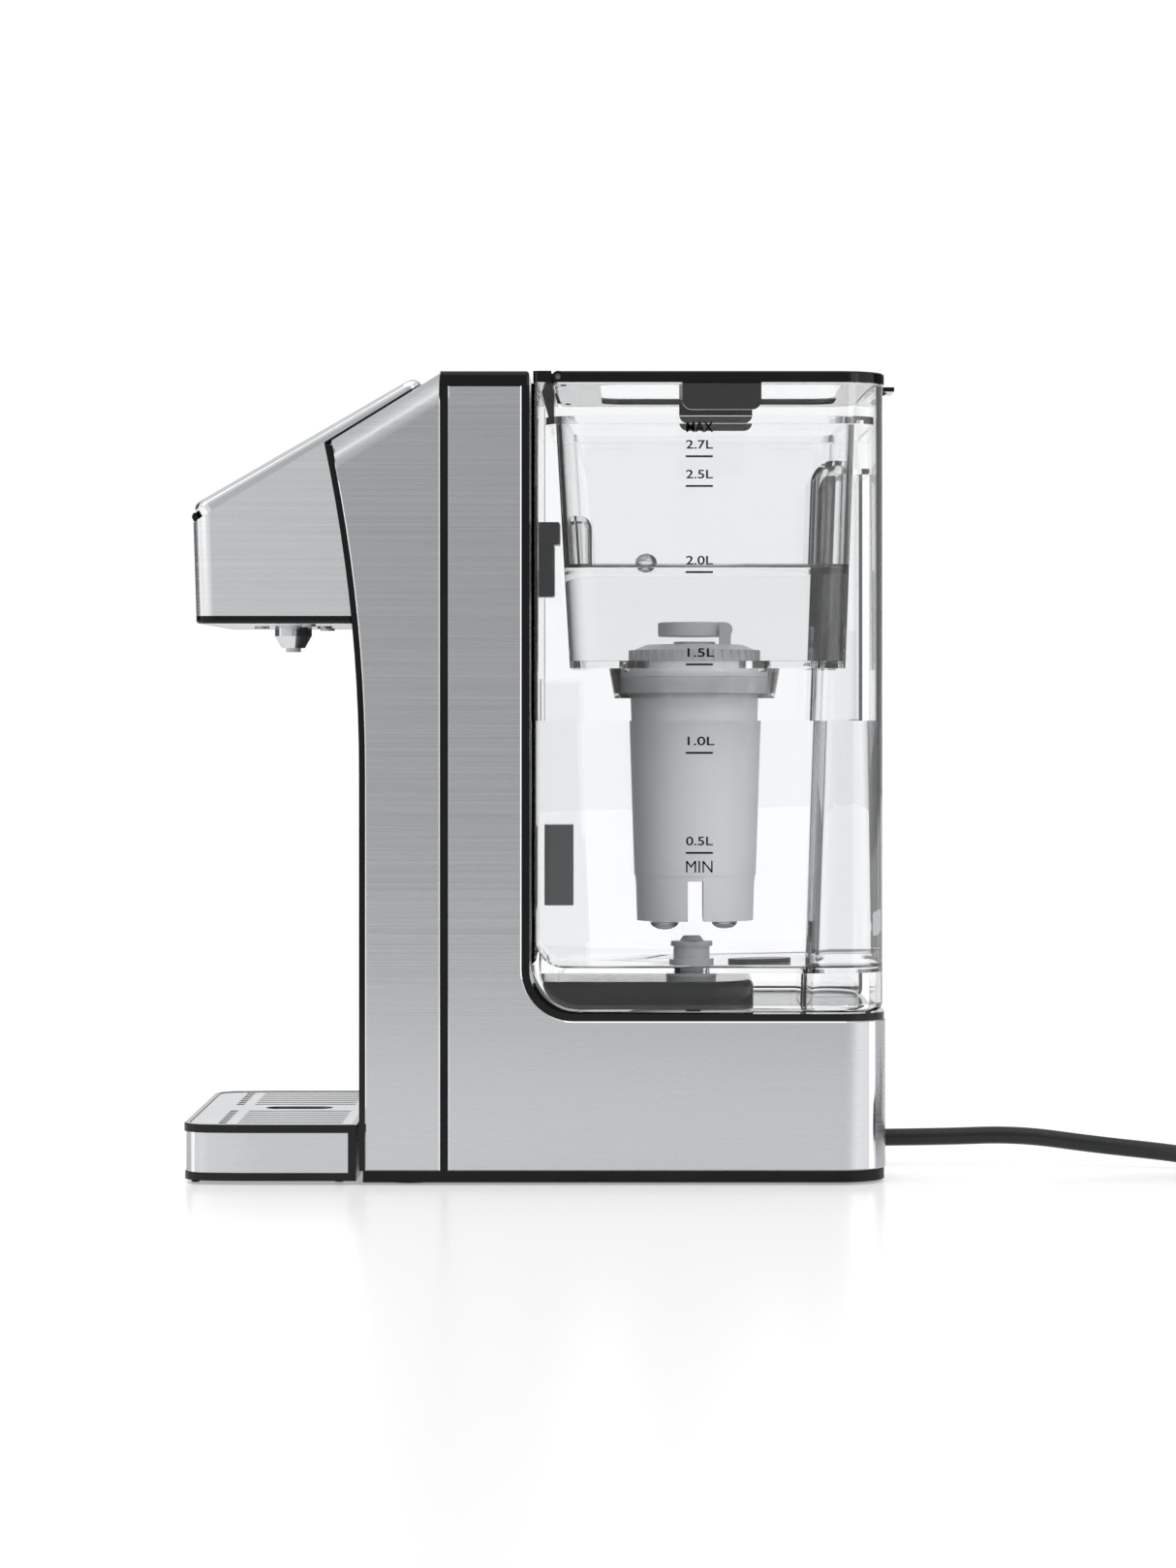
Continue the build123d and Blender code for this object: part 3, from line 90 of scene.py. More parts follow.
def ramp(tree, source, low, high):
    """Spread a noise's middle range over two numbers."""
    spread = add(tree, "ShaderNodeMapRange")
    spread.inputs["From Min"].default_value = 0.3
    spread.inputs["From Max"].default_value = 0.7
    spread.inputs["To Min"].default_value = low
    spread.inputs["To Max"].default_value = high
    join(tree, source, "Fac", spread, "Value")
    return spread


def tint(tree, source, dark, light, out="Fac"):
    """Mix two colours by a noise's middle range."""
    colours = add(tree, "ShaderNodeValToRGB")
    colours.color_ramp.elements[0].position = 0.3
    colours.color_ramp.elements[0].color = (*dark, 1)
    colours.color_ramp.elements[1].position = 0.7
    colours.color_ramp.elements[1].color = (*light, 1)
    join(tree, source, out, colours, "Fac")
    return colours


def bump(tree, source, strength, distance, shader):
    """Bump from a noise, strength 0 to 1, depth in metres."""
    node = add(tree, "ShaderNodeBump", Strength=strength, Distance=distance)
    join(tree, source, "Fac", node, "Height")
    join(tree, node, "Normal", shader, "Normal")
    return node


# ---- materials ----------------------------------------------------------------------------------
BEVEL_PRODUCT = 0.492        # |Nx * Ny| or |Nx * Nz| above this is a face at 45 degrees, where it is 0.5
# Near-white colour for the bevel faces: a painted highlight along the sheets' cut edges.
BEVEL_HIGHLIGHT_TONE = (0.96, 0.96, 0.97, 1)
BEVEL_ROUGHNESS = 0.10


def bevel_mask(tree):
    """White where a face lies at 45 degrees between the sides, on the sheets' cut bevels, where a highlight is
    painted.
    """
    coords = add(tree, "ShaderNodeTexCoord")
    split = add(tree, "ShaderNodeSeparateXYZ")
    join(tree, coords, "Normal", split, "Vector")
    masks = []
    for other in ("Y", "Z"):
        product = add(tree, "ShaderNodeMath", operation="MULTIPLY")
        tree.links.new(split.outputs["X"], product.inputs[0])
        tree.links.new(split.outputs[other], product.inputs[1])
        size = add(tree, "ShaderNodeMath", operation="ABSOLUTE")
        join(tree, product, "Value", size, "Value")
        above = add(tree, "ShaderNodeMath", operation="GREATER_THAN")
        join(tree, size, "Value", above, "Value")
        above.inputs[1].default_value = BEVEL_PRODUCT
        masks.append(above)
    both = add(tree, "ShaderNodeMath", operation="MAXIMUM")
    tree.links.new(masks[0].outputs["Value"], both.inputs[0])
    tree.links.new(masks[1].outputs["Value"], both.inputs[1])
    return both


def brushed(name, dark, light, roughness, stretch, depth=6e-6, anisotropy=0.35, bevel_highlights=False):
    """Brushed metal: fine grain lines along the low-stretch axes, soft clouds, and polished bevels with a
    painted highlight in their colour.
    """
    material, tree, shader = new_material(name)
    grain = object_noise(tree, 1.0, 4.0, stretch)
    cloud = object_noise(tree, 9.0, 2.0, tuple(min(3.0, max(0.4, part / 60)) for part in stretch))
    blend = add(tree, "ShaderNodeMix", data_type="FLOAT", Factor=0.35)
    join(tree, grain, "Fac", blend, "A")
    join(tree, cloud, "Fac", blend, "B")
    colour = tint(tree, blend, dark, light, "Result")
    rough = ramp(tree, grain, roughness - 0.05, roughness + 0.06)
    if bevel_highlights:
        mask = bevel_mask(tree)
        # The bevel faces take the near-white colour, a painted highlight; their low roughness is the real
        # polish.
        highlight_tone = add(tree, "ShaderNodeMix", data_type="RGBA")
        join(tree, mask, "Value", highlight_tone, "Factor")
        tree.links.new(colour.outputs["Color"], highlight_tone.inputs[6])
        highlight_tone.inputs[7].default_value = BEVEL_HIGHLIGHT_TONE
        tree.links.new(highlight_tone.outputs[2], shader.inputs["Base Color"])
        sheen = add(tree, "ShaderNodeMix", data_type="FLOAT")
        join(tree, mask, "Value", sheen, "Factor")
        join(tree, rough, "Result", sheen, "A")
        sheen.inputs["B"].default_value = BEVEL_ROUGHNESS
        join(tree, sheen, "Result", shader, "Roughness")
    else:
        join(tree, colour, "Color", shader, "Base Color")
        join(tree, rough, "Result", shader, "Roughness")
    bump(tree, grain, 0.35, depth, shader)
    shader.inputs["Metallic"].default_value = 1.0
    shader.inputs["Anisotropic"].default_value = anisotropy
    return material


def moulded(name, dark, light, roughness, grain_scale, grain_depth, specular=0.3, coat=0.0):
    """Moulded plastic or rubber: fine pebble grain, with faint cloudy colour."""
    material, tree, shader = new_material(name)
    grain = object_noise(tree, grain_scale, 2.0)
    cloud = object_noise(tree, 30.0, 3.0)
    join(tree, tint(tree, cloud, dark, light), "Color", shader, "Base Color")
    join(tree, ramp(tree, grain, roughness - 0.03, roughness + 0.04), "Result", shader, "Roughness")
    bump(tree, grain, 0.3, grain_depth, shader)
    shader.inputs["Specular IOR Level"].default_value = specular
    shader.inputs["Coat Weight"].default_value = coat
    shader.inputs["Coat Roughness"].default_value = 0.05
    return material


def clear(name, colour, ior, wave_depth):
    """Clear plastic or water, slightly wavy, which lets lamps through to what it holds."""
    material, tree, shader = new_material(name)
    shader.inputs["Base Color"].default_value = (*colour, 1)
    shader.inputs["Transmission Weight"].default_value = 1.0
    shader.inputs["Roughness"].default_value = 0.0
    shader.inputs["IOR"].default_value = ior
    bump(tree, object_noise(tree, 22.0, 1.0), 0.3, wave_depth, shader)
    open_shader = add(tree, "ShaderNodeBsdfTransparent", Color=(*colour, 1))
    path = add(tree, "ShaderNodeLightPath")
    both = add(tree, "ShaderNodeMixShader")
    tree.links.new(path.outputs["Is Shadow Ray"], both.inputs["Fac"])
    tree.links.new(shader.outputs["BSDF"], both.inputs[1])
    tree.links.new(open_shader.outputs["BSDF"], both.inputs[2])
    tree.links.new(both.outputs["Shader"], tree.nodes["Material Output"].inputs["Surface"])
    return material


MATERIALS = {
    "steel": brushed("steel_level_grain", (0.572, 0.577, 0.587), (0.602, 0.607, 0.617), 0.24, (8, 8, 3200),
                     2.2e-6, bevel_highlights=True),
    # The head's sheet is the side panels' steel given a lighter colour: painted light, standing in for the
    # brighter light on the head.
    "head_steel": brushed("steel_head_painted_lighter", (0.83, 0.835, 0.845), (0.87, 0.875, 0.885), 0.24, (8, 8, 3200),
                          2.2e-6),
    "grille_steel": brushed("steel_grille", (0.56, 0.565, 0.575), (0.64, 0.645, 0.655), 0.26, (2600, 8, 8),
                            3e-6),
    "black_plastic": moulded("black_satin", (0.004, 0.0045, 0.005), (0.007, 0.0075, 0.008), 0.38, 2400, 3e-6,
                             0.18),
    "gloss_black": moulded("black_gloss", (0.002, 0.0025, 0.003), (0.004, 0.0045, 0.005), 0.10, 300, 5e-7,
                           0.28),
    "grey_plastic": moulded("grey_satin", (0.56, 0.575, 0.59), (0.63, 0.645, 0.66), 0.30, 1800, 8e-6, 0.5),
    "dark_grey_plastic": moulded("dark_grey", (0.022, 0.024, 0.027), (0.034, 0.037, 0.041), 0.28, 1800, 2e-6),
    "clear_plastic": clear("clear_polished", (0.985, 0.987, 0.99), 1.49, 1.5e-5),
    "nozzle_metal": brushed("nozzle_polished", (0.62, 0.63, 0.64), (0.70, 0.71, 0.72), 0.08, (60, 60, 60), 1e-6,
                            0.0),
    "panel_chrome": brushed("panel_bright_metal", (0.74, 0.75, 0.76), (0.82, 0.83, 0.84), 0.10, (90, 20, 20),
                            1e-6, 0.0),
    "panel_glass": moulded("panel_dark_glass", (0.006, 0.007, 0.009), (0.010, 0.011, 0.013), 0.07, 60, 1e-6,
                           0.5),
    "white_plastic": moulded("white_satin", (0.90, 0.905, 0.91), (0.93, 0.935, 0.94), 0.35, 1600, 8e-6, 0.5),
    "filter_media": moulded("dark_granulate", (0.02, 0.018, 0.015), (0.10, 0.09, 0.08), 0.8, 700, 3e-4),
    "rubber": moulded("black_rubber", (0.012, 0.012, 0.012), (0.020, 0.020, 0.020), 0.62, 1500, 3e-5),
    "grey_silicone": moulded("grey_silicone", (0.78, 0.80, 0.81), (0.84, 0.86, 0.87), 0.22, 700, 1e-5, 0.5),
    "silicone": moulded("silicone", (0.62, 0.61, 0.57), (0.70, 0.69, 0.65), 0.45, 900, 1e-5),
    "screw_steel": brushed("zinc_plate", (0.46, 0.46, 0.47), (0.56, 0.56, 0.57), 0.25, (300, 300, 300)),
    "heater_metal": brushed("cast_aluminium", (0.48, 0.48, 0.49), (0.60, 0.60, 0.60), 0.5, (400, 400, 400),
                            6e-5),
    "pump_metal": brushed("motor_can", (0.30, 0.31, 0.33), (0.36, 0.37, 0.39), 0.4, (20, 900, 900)),
    "circuit_board": moulded("board_green", (0.012, 0.10, 0.045), (0.02, 0.15, 0.07), 0.35, 900, 2e-5),
    "cord_rubber": moulded("cord_jacket", (0.006, 0.007, 0.008), (0.011, 0.012, 0.013), 0.32, 1600, 6e-6, 0.4),
    "pin_metal": brushed("nickel_plate", (0.66, 0.65, 0.60), (0.76, 0.75, 0.70), 0.22, (500, 20, 500)),
}
WATER = clear("water", (0.992, 0.994, 0.996), 1.33, 1e-5)
SCALE_PRINT = moulded("scale_print", (0.001, 0.001, 0.001), (0.003, 0.003, 0.003), 0.6, 900, 5e-7, 0.05)
PANEL_PRINT = moulded("panel_print", (0.60, 0.62, 0.64), (0.70, 0.72, 0.74), 0.45, 900, 1e-6)


def dress_nodes():
    """Give every CAD node its material and smooth its round faces."""
    for part in frame["record"]["subparts"]:
        node = NODES[part["node"]]
        node.data.materials.clear()
        node.data.materials.append(MATERIALS[part["material_slot"]])
        node.data.polygons.foreach_set("use_smooth", [True] * len(node.data.polygons))
        node.data.set_sharp_from_angle(angle=math.radians(30))


# ---- camera, stage and light --------------------------------------------------------------------
EYE = (1.791, 0.0375, 0.1887)
LENS = 101.9
SHIFT = (-0.0327, -0.0553)
FLOOR_LOW, FLOOR_HIGH = (-6.0, -3.5), (1.0, 3.5)
FLOOR_GLOW = 0.33
WORLD_STRENGTH = 1.3
BACKDROP_STRENGTH = 1.04     # the plain white that the camera sees, which clips to full white
# Azimuth round the object, from straight behind it (0) past its -Y side (0.25), the camera's side (0.5) and
# its +Y side (0.75) to straight behind again (1), and how bright the studio is there.
AROUND = [(0.0, 0.80), (0.03, 0.80), (0.07, 0.08), (0.232, 0.08), (0.247, 0.95), (0.262, 0.95),
          (0.30, 0.64), (0.463, 0.60), (0.49, 0.36), (0.60, 0.33), (0.625, 0.42), (0.635, 0.95),
          (0.765, 0.95), (0.785, 0.08), (0.93, 0.08), (0.97, 0.80)]
TOP_LIGHT = 0.58
TOP_FADE = (0.30, 0.62)      # upward part of a direction where the sides give way to the light above


def set_camera():
    """A long lens, level with the tank's middle, looking square at the side."""
    data = bpy.data.cameras.new("camera")
    data.lens = LENS
    data.sensor_width = 36.0
    data.shift_x, data.shift_y = SHIFT
    data.clip_end = 20.0
    camera = bpy.data.objects.new("camera", data)
    camera.location = EYE
    camera.rotation_euler = (math.radians(90), 0, math.radians(90))
    bpy.context.scene.collection.objects.link(camera)
    bpy.context.scene.camera = camera


def set_floor():
    """A pale, faintly glossy worktop that shines a little, so that it stays nearly white."""
    mesh = bpy.data.meshes.new("floor")
    (low_x, low_y), (high_x, high_y) = FLOOR_LOW, FLOOR_HIGH
    corners = [(low_x, low_y, 0), (high_x, low_y, 0), (high_x, high_y, 0), (low_x, high_y, 0)]
    mesh.from_pydata(corners, [], [(0, 1, 2, 3)])
    floor = bpy.data.objects.new("floor", mesh)
    material, tree, shader = new_material("floor_white")
    shader.inputs["Base Color"].default_value = (0.80, 0.80, 0.81, 1)
    shader.inputs["Roughness"].default_value = 0.25
    shader.inputs["Specular IOR Level"].default_value = 0.4
    shader.inputs["Emission Color"].default_value = (1, 1, 1, 1)
    shader.inputs["Emission Strength"].default_value = FLOOR_GLOW
    mesh.materials.append(material)
    bpy.context.scene.collection.objects.link(floor)


def grey_ramp(tree, stops):
    """A colour ramp from (position, brightness) pairs."""
    node = add(tree, "ShaderNodeValToRGB")
    elements = node.color_ramp.elements
    while len(elements) < len(stops):
        elements.new(0.5)
    for element, (position, level) in zip(elements, stops):
        element.position = position
        element.color = (level, level * 1.005, level * 1.01, 1)
    return node


def set_world():
    """A studio of dark flags and soft boxes, seen in reflections; the camera itself sees plain white."""
    world = bpy.data.worlds.new("studio")
    world.use_nodes = True
    tree = world.node_tree
    coords = add(tree, "ShaderNodeTexCoord")
    split = add(tree, "ShaderNodeSeparateXYZ")
    join(tree, coords, "Generated", split, "Vector")
    angle = add(tree, "ShaderNodeMath", operation="ARCTAN2")
    tree.links.new(split.outputs["Y"], angle.inputs[0])
    tree.links.new(split.outputs["X"], angle.inputs[1])
    turn = add(tree, "ShaderNodeMapRange")
    turn.inputs["From Min"].default_value = -math.pi
    turn.inputs["From Max"].default_value = math.pi
    join(tree, angle, "Value", turn, "Value")
    around = grey_ramp(tree, AROUND)
    join(tree, turn, "Result", around, "Fac")
    rise = add(tree, "ShaderNodeMapRange")
    rise.interpolation_type = "SMOOTHSTEP"
    rise.inputs["From Min"].default_value, rise.inputs["From Max"].default_value = TOP_FADE
    join(tree, split, "Z", rise, "Value")
    mix = add(tree, "ShaderNodeMix", data_type="RGBA")
    join(tree, rise, "Result", mix, "Factor")
    tree.links.new(around.outputs["Color"], mix.inputs[6])
    mix.inputs[7].default_value = (TOP_LIGHT, TOP_LIGHT, TOP_LIGHT, 1)
    studio = tree.nodes["Background"]
    studio.inputs["Strength"].default_value = WORLD_STRENGTH
    tree.links.new(mix.outputs[2], studio.inputs["Color"])
    plain = add(tree, "ShaderNodeBackground", Strength=BACKDROP_STRENGTH, Color=(1, 1, 1, 1))
    path = add(tree, "ShaderNodeLightPath")
    choose = add(tree, "ShaderNodeMixShader")
    tree.links.new(path.outputs["Is Camera Ray"], choose.inputs["Fac"])
    tree.links.new(studio.outputs["Background"], choose.inputs[1])
    tree.links.new(plain.outputs["Background"], choose.inputs[2])
    tree.links.new(choose.outputs["Shader"], tree.nodes["World Output"].inputs["Surface"])
    bpy.context.scene.world = world
    bpy.context.scene.view_settings.view_transform = "Standard"


def area_light(name, place, target, size, power):
    """A soft rectangular light aimed at a point."""
    data = bpy.data.lights.new(name, "AREA")
    data.shape = "RECTANGLE"
    data.size, data.size_y = size
    data.energy = power
    light = bpy.data.objects.new(name, data)
    light.location = place
    light.rotation_euler = (Vector(target) - Vector(place)).to_track_quat("-Z", "Y").to_euler()
    bpy.context.scene.collection.objects.link(light)


def set_lights():
    """A large top light and two soft lights ahead of the object's side."""
    area_light("top_light", (0.3, 0.0, 1.6), (0, 0, 0.1), (1.6, 1.6), 5.0)
    area_light("front_light", (1.1, -1.2, 0.9), (0, -0.05, 0.15), (0.8, 1.2), 3.5)
    area_light("rear_light", (1.2, 1.2, 0.8), (0, 0.05, 0.15), (0.6, 1.2), 3.0)


# ---- small mesh helpers -------------------------------------------------------------------------
def link(name, mesh, material, body):
    """Make an object from a mesh, dress it and let it ride on a body."""
    piece = bpy.data.objects.new(name, mesh)
    mesh.materials.clear()
    mesh.materials.append(material)
    bpy.context.scene.collection.objects.link(piece)
    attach(piece, body)
    return piece


def loft_mesh(name, rings):
    """A closed mesh through rings of equal point counts, capped at both ends."""
    mesh = bpy.data.meshes.new(name)
    build = bmesh.new()
    rows = [[build.verts.new(point) for point in ring] for ring in rings]
    for low, high in zip(rows, rows[1:]):
        count = len(low)
        for i in range(count):
            build.faces.new((low[i], low[(i + 1) % count], high[(i + 1) % count], high[i]))
    build.faces.new(list(reversed(rows[0])))
    build.faces.new(rows[-1])
    bmesh.ops.recalc_face_normals(build, faces=build.faces)
    build.to_mesh(mesh)
    build.free()
    mesh.polygons.foreach_set("use_smooth", [True] * len(mesh.polygons))
    mesh.set_sharp_from_angle(angle=math.radians(35))
    return mesh


def arc(centre, radius, start, end, steps=6):
    """Points of an arc in plan, from one angle to another in degrees."""
    angles = [math.radians(start + (end - start) * i / steps) for i in range(steps + 1)]
    return [(centre[0] + radius * math.cos(a), centre[1] + radius * math.sin(a)) for a in angles]


def lathe_mesh(name, profile, centre, steps=32):
    """A closed turned shape from (radius, height) points, from the bottom up."""
    rings = []
    for radius, height in profile:
        ring = [(centre[0] + x, centre[1] + y, height) for x, y in arc((0, 0), radius, 0, 360, steps)[:-1]]
        rings.append(ring)
    return loft_mesh(name, rings)


# ---- mains lead ---------------------------------------------------------------------------------
CORD_RADIUS = 3.5 * MM
COIL_LOW, COIL_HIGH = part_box("cord_coil")
COIL_CENTRE = (COIL_LOW + COIL_HIGH) / 2
COIL_MID = (COIL_HIGH.x - COIL_LOW.x) / 2 - 2 * CORD_RADIUS
LEAD_ROUTE = [
    (0.0, 0.128, 0.0111),
    (0.0, 0.159, 0.0114),
    (0.0005, 0.190, 0.0126),
    (0.0035, 0.221, 0.0086),
    (0.012, 0.250, 0.0063),
    (0.0255, 0.276, 0.0035),
    (0.0425, 0.298, 0.0035),
]
TAIL_ROUTE = [
    (-0.0044, 0.3615, 0.0084),
    (-0.0256, 0.3615, 0.0060),
    (-0.0445, 0.3502, 0.0044),
    (-0.0553, 0.3299, 0.0044),
    (-0.0553, 0.3084, 0.0103),
]
TURN_STEPS = 16
COIL_START_DEG = -20.0
COIL_TURNS = 3.25
COIL_CLIMB = 1.72            # rise of the upper turns onto the lower ones, in cord radii


def coil_points():
    """Turns that wind inward on the worktop and then climb onto themselves."""
    count = round(COIL_TURNS * TURN_STEPS)
    points = []
    for i in range(count + 1):
        turn = i / TURN_STEPS
        angle = math.radians(COIL_START_DEG) + 2 * math.pi * turn
        if turn < 2.0:
            radius = COIL_MID + CORD_RADIUS - 2 * CORD_RADIUS * min(1.0, max(0.0, turn - 0.5))
        else:
            radius = COIL_MID - CORD_RADIUS * max(0.0, 1.0 - (turn - 2.0) / 0.25)
        lift = min(1.0, max(0.0, (turn - 1.75) / 0.3))
        height = CORD_RADIUS + lift * COIL_CLIMB * CORD_RADIUS
        x, y = COIL_CENTRE.x + radius * math.cos(angle), COIL_CENTRE.y + radius * math.sin(angle)
        points.append((x, y, height))
    return points


def make_cord():
    """The mains lead: one smooth spline from the rear gland, through its coil, to the plug."""
    curve = bpy.data.curves.new("mains_lead", "CURVE")
    curve.dimensions = "3D"
    curve.bevel_depth = CORD_RADIUS
    curve.bevel_resolution = 5
    curve.resolution_u = 8
    curve.use_fill_caps = True
    spline = curve.splines.new("NURBS")
    points = LEAD_ROUTE + coil_points() + TAIL_ROUTE
    spline.points.add(len(points) - 1)
    for target, point in zip(spline.points, points):
        target.co = (*point, 1.0)
    spline.order_u = 3
    spline.use_endpoint_u = True
    curve.materials.append(MATERIALS["cord_rubber"])
    lead = bpy.data.objects.new("mains_lead", curve)
    bpy.context.scene.collection.objects.link(lead)
    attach(lead, "base")
    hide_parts("cord_lead", "cord_coil", "cord_tail")


# ---- water --------------------------------------------------------------------------------------
WATER_OVERLAP = 0.1 * MM     # the water reaches this far into the clear walls, so that no air shows
# How the upper water falls away from its walls: inset from the wall, fall from the edge.
MENISCUS = [(0.3 * MM, 0.6 * MM), (0.9 * MM, 1.1 * MM), (2.2 * MM, 1.4 * MM)]
TANK_LOW, TANK_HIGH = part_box("tank")
CLEAR_WALL = 2.2 * MM
TANK_FLOOR_Z = 84.0 * MM
TANK_WATER_Z = 179.6 * MM
TANK_REAR = 130.4 * MM       # inner faces of the tank's rear and side walls
TANK_HALF = 72.4 * MM
TANK_FRONT_BEND = 10.0 * MM
TANK_BEND_STEPS = 6
TANK_PLAN_R = (1.0 * MM, 16.8 * MM)
RECESS_HALF = 31.0 * MM
RECESS_WALL = ((103.7 * MM, 66.5 * MM), (110.8 * MM, 277.0 * MM))
BOX_FLOOR_Z = 203.0 * MM
BOX_WATER_Z = 240.7 * MM
# The reservoir's inner walls at two heights: height, front, rear, half width.
BOX_SIDES = ((200.0 * MM, 12.3 * MM, 116.4 * MM, 61.0 * MM), (297.8 * MM, 6.8 * MM, 119.7 * MM, 65.5 * MM))
BOX_PLAN_R = (10.0 * MM, 10.0 * MM)
BOX_GROW = 5.2 * MM
CHANNEL_HALF = 17.0 * MM
CHANNEL_Y = 18.3 * MM


def recess_y(z, grow):
    """Depth of the leaning wall of the hand recess at a height, moved forward by grow."""
    (low_y, low_z), (top_y, top_z) = RECESS_WALL
    return low_y + (top_y - low_y) * (z - low_z) / (top_z - low_z) - grow


def plan_ring(z, front, rear, half, radii, notch, channel=None):
    """A tank outline at a height: round corners, a notch in the rear, a channel in the front."""
    notch_half, notch_y = notch
    front_r, rear_r = radii
    points = arc((half - front_r, front + front_r), front_r, -90, 0)
    points += arc((half - rear_r, rear - rear_r), rear_r, 0, 90)
    points += [(notch_half, rear), (notch_half, notch_y)]
    points += [(-x, y) for x, y in reversed(points)]
    if channel:
        channel_half, channel_y = channel
        points += [(-channel_half, front), (-channel_half, channel_y)]
        points += [(channel_half, channel_y), (channel_half, front)]
    return [(x, y, z) for x, y in points]


def make_tank_water():
    """Filtered water that fills the tank up to its level."""
    rings = []
    front_wall = TANK_LOW.y + CLEAR_WALL - WATER_OVERLAP
    rear = TANK_REAR + WATER_OVERLAP
    half = TANK_HALF + WATER_OVERLAP
    step = math.radians(90 / TANK_BEND_STEPS)
    bends = [TANK_FRONT_BEND * (1 - math.cos(step * i)) for i in range(1, TANK_BEND_STEPS + 1)]
    for z in [TANK_FLOOR_Z - WATER_OVERLAP] + [TANK_FLOOR_Z + rise for rise in bends] + [TANK_WATER_Z]:
        above = min(TANK_FRONT_BEND, max(0.0, z - TANK_FLOOR_Z))
        shift = TANK_FRONT_BEND - math.sqrt(TANK_FRONT_BEND ** 2 - (TANK_FRONT_BEND - above) ** 2)
        notch = (RECESS_HALF + CLEAR_WALL - WATER_OVERLAP, recess_y(z, CLEAR_WALL - WATER_OVERLAP))
        rings.append(plan_ring(z, front_wall + shift, rear, half, TANK_PLAN_R, notch))
    link("tank_water", loft_mesh("tank_water", rings), WATER, "tank_set")


def make_reservoir_water():
    """Water still in the upper reservoir, round the head of the filter."""
    (low_z, low_front, low_rear, low_half), (top_z, top_front, top_rear, top_half) = BOX_SIDES
    rings = []
    for z in (BOX_FLOOR_Z - WATER_OVERLAP, BOX_WATER_Z):
        part = (z - low_z) / (top_z - low_z)
        front = low_front + (top_front - low_front) * part - WATER_OVERLAP
        rear = low_rear + (top_rear - low_rear) * part + WATER_OVERLAP
        half = low_half + (top_half - low_half) * part + WATER_OVERLAP
        notch = (RECESS_HALF + BOX_GROW - WATER_OVERLAP, recess_y(z, BOX_GROW - WATER_OVERLAP))
        rings.append(plan_ring(z, front, rear, half, BOX_PLAN_R, notch, (CHANNEL_HALF, CHANNEL_Y)))
    for inset, drop in MENISCUS:
        edge = (notch[0] + inset, notch[1] - inset)
        channel = (CHANNEL_HALF + inset, CHANNEL_Y + inset)
        rings.append(plan_ring(z - drop, front + inset, rear - inset, half - inset, BOX_PLAN_R, edge, channel))
    link("reservoir_water", loft_mesh("reservoir_water", rings), WATER, "reservoir_set")


# Drops and bubbles: name, body, centre (x, y), profile of (radius, height) from the bottom up, in mm.
DROPS = [
    ("foot_drop_front", "filter", (0.0, 47.9),
     [(0.8, 96.1), (3.0, 96.5), (4.9, 97.6), (5.6, 98.8), (5.3, 99.85)]),
    ("foot_drop_rear", "filter", (0.0, 71.1),
     [(0.8, 96.5), (2.8, 96.8), (4.4, 97.8), (5.0, 98.9), (4.8, 99.85)]),
    ("surface_bubble", "reservoir_set", (52.0, 40.2),
     [(0.6, 237.6), (2.4, 238.2), (3.8, 239.5), (4.3, 241.2), (3.9, 243.0), (2.6, 244.3), (0.6, 245.0)]),
]


def make_drops():
    """Lens-shaped drops under the filter's foot, and a bubble on the upper water."""
    for name, body, (x, y), profile in DROPS:
        shape = [(radius * MM, height * MM) for radius, height in profile]
        link(name, lathe_mesh(name, shape, (x * MM, y * MM)), WATER, body)


# ---- printed marks ------------------------------------------------------------------------------
FIGURE_WEIGHT = 0.05 * MM    # how much the strokes are thickened
SCALE_X = TANK_HIGH.x + 0.02 * MM
SCALE_Y = 60.7 * MM
SCALE_LINE = (10.7 * MM, 0.75 * MM)
SCALE_MARKS = [("2.7L", 281.9), ("2.5L", 270.4), ("2.0L", 237.1),
               ("1.5L", 201.4), ("1.0L", 167.2), ("0.5L", 128.5)]
SCALE_RISE = 3.0 * MM        # from a line's middle up to the foot of its figures
FIGURE_SIZE = (3.3 * MM, 10.4 * MM)
# The two words: height, width, height of the foot line, extra weight.
SCALE_WORDS = [("max", "MAX", 4.0 * MM, 10.4 * MM, 291.3 * MM, FIGURE_WEIGHT),
               ("min", "MIN", 4.7 * MM, 10.3 * MM, 120.9 * MM, 0.0)]
PRINT_DEPTH = 0.03 * MM
FIGURE_SHARE = 0.70          # height of a capital over the font's size


def make_text(name, words, height, width, place, turn, material, body, slot_name, weight=0.0):
    """Printed figures of a given height and width, centred on their foot line."""
    data = bpy.data.curves.new(name, "FONT")
    data.body = words
    data.size = height / FIGURE_SHARE
    data.align_x = "CENTER"
    data.extrude = PRINT_DEPTH
    data.offset = weight
    data.materials.append(material)
    piece = bpy.data.objects.new(name, data)
    piece.rotation_euler = turn
    piece.location = place
    bpy.context.scene.collection.objects.link(piece)
    bpy.context.view_layer.update()
    piece.scale.x = width / piece.dimensions.x
    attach(piece, body)


def make_bar(name, centre, size):
    """A printed level line with round ends, on the tank's near wall."""
    half, radius = size[0] / 2, size[1] / 2
    ends = arc((half - radius, 0), radius, -90, 90) + arc((radius - half, 0), radius, 90, 270)
    rings = [[(x, centre[1] + along, centre[2] + up) for along, up in ends]
             for x in (centre[0] - PRINT_DEPTH, centre[0] + PRINT_DEPTH)]
    link(name, loft_mesh(name, rings), SCALE_PRINT, "tank_set")


